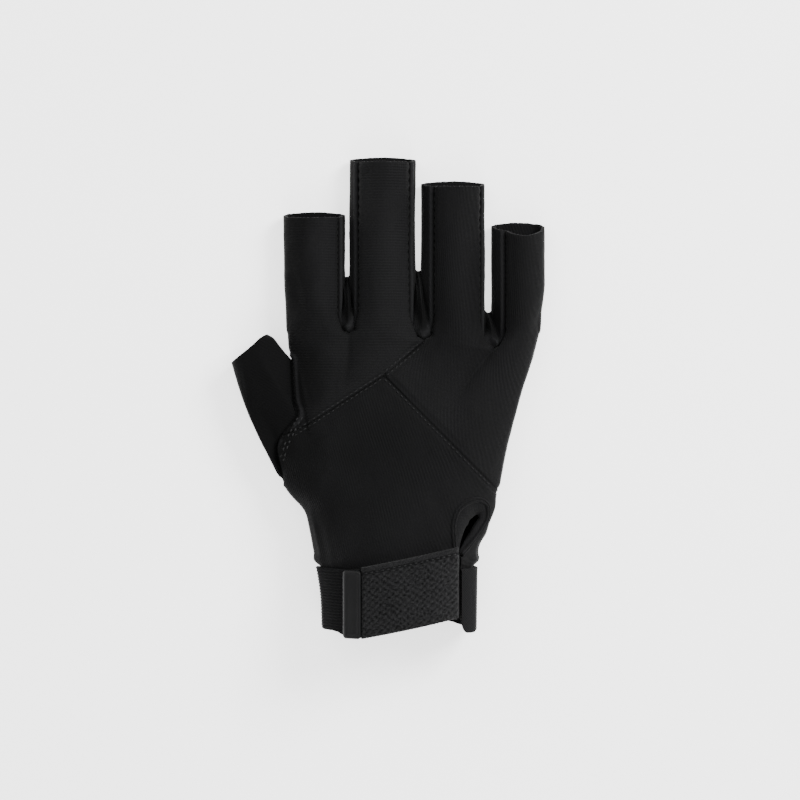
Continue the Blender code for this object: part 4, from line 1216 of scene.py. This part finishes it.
def sewStrap():
    heights = []
    slope = strap["rise"] / strap["length"]

    def pair(c, r):
        share, along = c / strap["columns"], r / strap["rows"]
        full = roundedProfile(along, 0.03) * roundedProfile(share, 0.02)
        point = strapPoint(share, along, 0.0)
        x, v = point.x * 1000, (point.y - slope * point.x) * 1000
        fromTop = (1.0 - along) * (strap["width"] + strap["flare"] * share) * 1000
        stand = loopHeight(x, v, fromTop)
        heights.append(stand)
        tuft = strap["tuft"] * (stand - 0.5) * 2 * full
        fray = Vector((0, strap["fray"] * noise.noise(Vector((x * 1.7, v * 1.7, 2.0))), 0))
        return (strapPoint(share, along, strap["thick"] * (0.35 + 0.55 * full) + tuft) + fray,
                strapPoint(share, along, strap["thick"] * 0.25 * (1.0 - full)) + fray)

    data = stripMesh("closing_strap", strap["columns"], strap["rows"], pair)
    # the loop heights also set the strap's colour, as painted light and shade
    data.attributes.new("loopHeight", "FLOAT", "POINT").data.foreach_set("value", heights + heights)
    return data


def mouldTab():
    # a soft rubber tab with round corners and edges, its face left plain
    right = band["slit"] - band["slitWidth"] / 2 - strap["length"] - tab["gap"]

    def pair(r, c):
        # rows and columns stand closer together near the edges
        along, across = (0.5 - 0.5 * math.cos(math.pi * n) for n in (r / tab["rows"], c / tab["columns"]))
        fromEnd = min(along, 1.0 - along) * tab["length"]
        short = max(tab["corner"] - fromEnd, 0.0)
        corner = tab["corner"] - math.sqrt(max(tab["corner"] ** 2 - short**2, 0.0))
        x = mix(right - tab["width"] + corner, right - corner, across)
        y = along * tab["length"] - strap["drop"]
        near = min(min(across, 1.0 - across) * (tab["width"] - 2 * corner), fromEnd)
        full = quarterRound(near / tab["edge"])
        dish = tab["dish"] * ease((near - tab["rim"]) / tab["dishRun"])
        base = sections.top(x, y, strap["lift"])
        return (Vector((x, y, base + tab["thick"] * (0.55 + 0.45 * full) - dish)) + place,
                Vector((x, y, base + tab["thick"] * 0.12 * (1.0 - full))) + place)

    return stripMesh("pull_tab_mould", tab["rows"], tab["columns"], pair)


closingStrap = settle(makeObject("closing_strap", sewStrap(), [pile]), ["strap"], "strap_pile")
pullTab = settle(makeObject("pull_tab_mould", mouldTab(), [rubber]), ["pull_tab"], "tab_rubber")
print("band, strap and tab made")


# stitches

stitch = dict(length=0.00135, every=0.0022, thick=0.00019, apart=0.0008, sides=6, sink=0.00005, steps=5,
              stagger=0.0008, thumbThick=0.00027, thumbApart=0.0007, thumbStagger=0.0011, strapThick=0.00024,
              # the thumb's row, in millimetres on the row frame
              thumbRoute=[(-34.6, -8.6), (-37.2, -13.0), (-39.6, -18.0), (-41.4, -23.0), (-42.6, -27.0)])

clothTree = BVHTree.FromPolygons(
    [Vector(p) + place for p in outside], [tuple(face.vertices) for face in skin.polygons]
)


def clothSpot(x, y):
    # the point of the cloth right under a point of the row frame, and its normal
    hit, normal, _, _ = clothTree.ray_cast(Vector((x, y, 0.1)), Vector((0, 0, -1)))
    return hit, normal


def oneStitch(spots, faces, start, stop, normals, thick):
    # a short thread that comes up, lies over the cloth and goes down again
    run = stop - start
    normal = (normals[0] + normals[1]).normalized()
    side = run.cross(normal).normalized()
    first = len(spots)
    sides, steps = stitch["sides"], stitch["steps"]
    for k in range(steps + 1):
        t = k / steps
        lift = thick * (1.5 * math.sin(math.pi * t) - 0.55) - stitch["sink"]
        middle = start.lerp(stop, t) + normal * lift
        wide = thick * (0.75 + 0.35 * math.sin(math.pi * t))
        for i in range(sides):
            angle = 2 * math.pi * i / sides
            spots.append(middle + (side * math.cos(angle) + normal * math.sin(angle)) * wide)
    faces += ringFaces(first, steps + 1, sides)


def stitchRow(spots, faces, ends, shift, surface, begin=0.0, finish=1.0, offset=0.0, thick=None):
    # stitches along a straight line on the plan, moved sideways by shift
    a, b = Vector(ends[0]).to_2d(), Vector(ends[1]).to_2d()
    run = b - a
    length = run.length
    along = run / length
    side = Vector((-along.y, along.x))
    at = begin * length + offset
    while at + stitch["length"] < finish * length:
        jitter = side * dice.uniform(-0.00008, 0.00008)
        p = a + along * at + side * shift + jitter
        q = a + along * (at + stitch["length"] * dice.uniform(0.9, 1.05)) + side * shift + jitter
        first, second = surface(p.x, p.y), surface(q.x, q.y)
        if first[0] is not None and second[0] is not None:
            oneStitch(spots, faces, first[0], second[0], (first[1], second[1]), thick or stitch["thick"])
        at += stitch["every"]


def sewBackSeams():
    spots, faces = [], []
    left, meet, right = (p + place for p in edgeRow(hand["seamRow"]))
    web = webSpots()[1][0] + place
    for end, shifts, begin, finish in (
        (web, (-1, 1), 0.04, 0.93), (left, (-1, 1), 0.02, 0.97), (right, (-1,), 0.02, 0.97),
    ):
        for n, shift in enumerate(shifts):
            shift *= stitch["apart"]
            stitchRow(spots, faces, (meet, end), shift, clothSpot, begin, finish, n * stitch["stagger"])
    return spots, faces


def sewThumbSeam():
    # two rows that step past each other, from the joint down to the edge of the hand
    spots, faces = [], []
    route = [Vector(p) * mm for p in stitch["thumbRoute"]]
    for a, b in zip(route, route[1:]):
        for n, shift in enumerate((stitch["thumbApart"], -stitch["thumbApart"])):
            offset = n * stitch["thumbStagger"]
            stitchRow(spots, faces, (a, b), shift, clothSpot, 0.0, 1.02, offset, stitch["thumbThick"])
    return spots, faces


def strapTop(x, y):
    # the strap's face under a point of the row frame
    share = 1.0 - (band["slit"] - band["slitWidth"] / 2 + place.x - x) / strap["length"]
    low = strap["rise"] * share - strap["drop"] + place.y
    along = (y - low) / (strap["width"] + strap["flare"] * share)
    return strapPoint(share, along, strap["thick"] * 0.9 - 0.0002), Vector((0, 0.1, 1)).normalized()


def sewStrapLine():
    spots, faces = [], []
    ends = [strapPoint(share, 1.0 - strap["hem"] / strap["width"], 0) for share in (0.03, 0.98)]
    stitchRow(spots, faces, ends, 0.0, strapTop, thick=stitch["strapThick"])
    return spots, faces


stitches = {}
for name, made, look, slotName in (
    ("back_seam_stitches", sewBackSeams(), thread, "stretch_cloth"),
    ("thumb_seam_stitches", sewThumbSeam(), paleThread, "thumb_cloth"),
    ("strap_stitches", sewStrapLine(), thread, "strap_pile"),
):
    threads = turnOut(meshFrom(name, *made))
    stitches[name] = settle(makeObject(name, threads, [look]), [], slotName)
print("stitches sewn")

# what each piece of cloth was cut to before it was sewn: flat width and length, and its area, in metres
cuts = dict(
    back_upper_panel=(0.064, 0.112, 0.00470), back_outer_panel=(0.072, 0.124, 0.00530),
    back_lower_panel=(0.112, 0.096, 0.00740), palm_panel=(0.108, 0.184, 0.01390),
    thumb_sleeve=(0.052, 0.062, 0.00245), fourchette_index_middle=(0.0125, 0.135, 0.00118),
    fourchette_middle_ring=(0.0125, 0.150, 0.00138), fourchette_ring_little=(0.0125, 0.130, 0.00115),
)
sewnOn = dict(
    back_lower_panel=[stitches["back_seam_stitches"], binding, facing],
    thumb_sleeve=[stitches["thumb_seam_stitches"]],
)
for name, (width, length, area) in cuts.items():
    lies = [] if name == "palm_panel" else ["palm_panel"]
    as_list(sewnOn.get(name, []))


# the studio

studio = dict(
    middle=(0.0045, -0.0022), height=1.0, seen=0.3180, seenAt=0.012, sensor=36.0,
    floor=(0.93, 0.93, 0.93), glow=1.5, level=-0.0003, world=0.95,
    # where each lamp stands, its size in metres and its watts
    lamps=[((0.75, 0.55, 0.75), 0.5, 24.0), ((-0.55, 0.55, 0.85), 0.8, 7.0), ((0.1, -0.75, 0.60), 0.7, 6.0)],
)


def buildStudio():
    size = 6.0
    corners = [(x * size, y * size, studio["level"]) for x, y in ((-1, -1), (1, -1), (1, 1), (-1, 1))]
    paper = Paint("studio_paper", Specular_IOR_Level=0.1)
    tone = paper.grain(3.0, 2.0)
    paper.feed("Base Color", paper.colours(tone, studio["floor"], tuple(c * 1.02 for c in studio["floor"])))
    paper.shader.inputs["Roughness"].default_value = 0.9
    paper.shader.inputs["Emission Color"].default_value = (1, 1, 1, 1)
    paper.shader.inputs["Emission Strength"].default_value = studio["glow"]
    sheet = meshFrom("studio_floor", corners, [(0, 1, 2, 3)])
    floor = makeObject("studio_floor", sheet, [paper.material], False)
    world = bpy.data.worlds.new("studio_air")
    world.use_nodes = True
    world.node_tree.nodes["Background"].inputs[0].default_value = (1, 1, 1, 1)
    world.node_tree.nodes["Background"].inputs[1].default_value = studio["world"]
    bpy.context.scene.world = world
    for n, (spot, wide, power) in enumerate(studio["lamps"]):
        lamp = bpy.data.lights.new("softbox%d" % n, "AREA")
        lamp.size, lamp.energy = wide, power
        stand = bpy.data.objects.new("softbox%d" % n, lamp)
        stand.location = spot
        stand.rotation_euler = (-Vector(spot)).to_track_quat("-Z", "Y").to_euler()
        bpy.context.scene.collection.objects.link(stand)
    camera = bpy.data.cameras.new("camera")
    camera.sensor_width = studio["sensor"]
    camera.lens = studio["sensor"] * (studio["height"] - studio["seenAt"]) / studio["seen"]
    camera.clip_start, camera.clip_end = 0.01, 20.0
    eye = bpy.data.objects.new("camera", camera)
    eye.location = (*studio["middle"], studio["height"])
    bpy.context.scene.collection.objects.link(eye)
    bpy.context.scene.camera = eye


buildStudio()
print("ready")
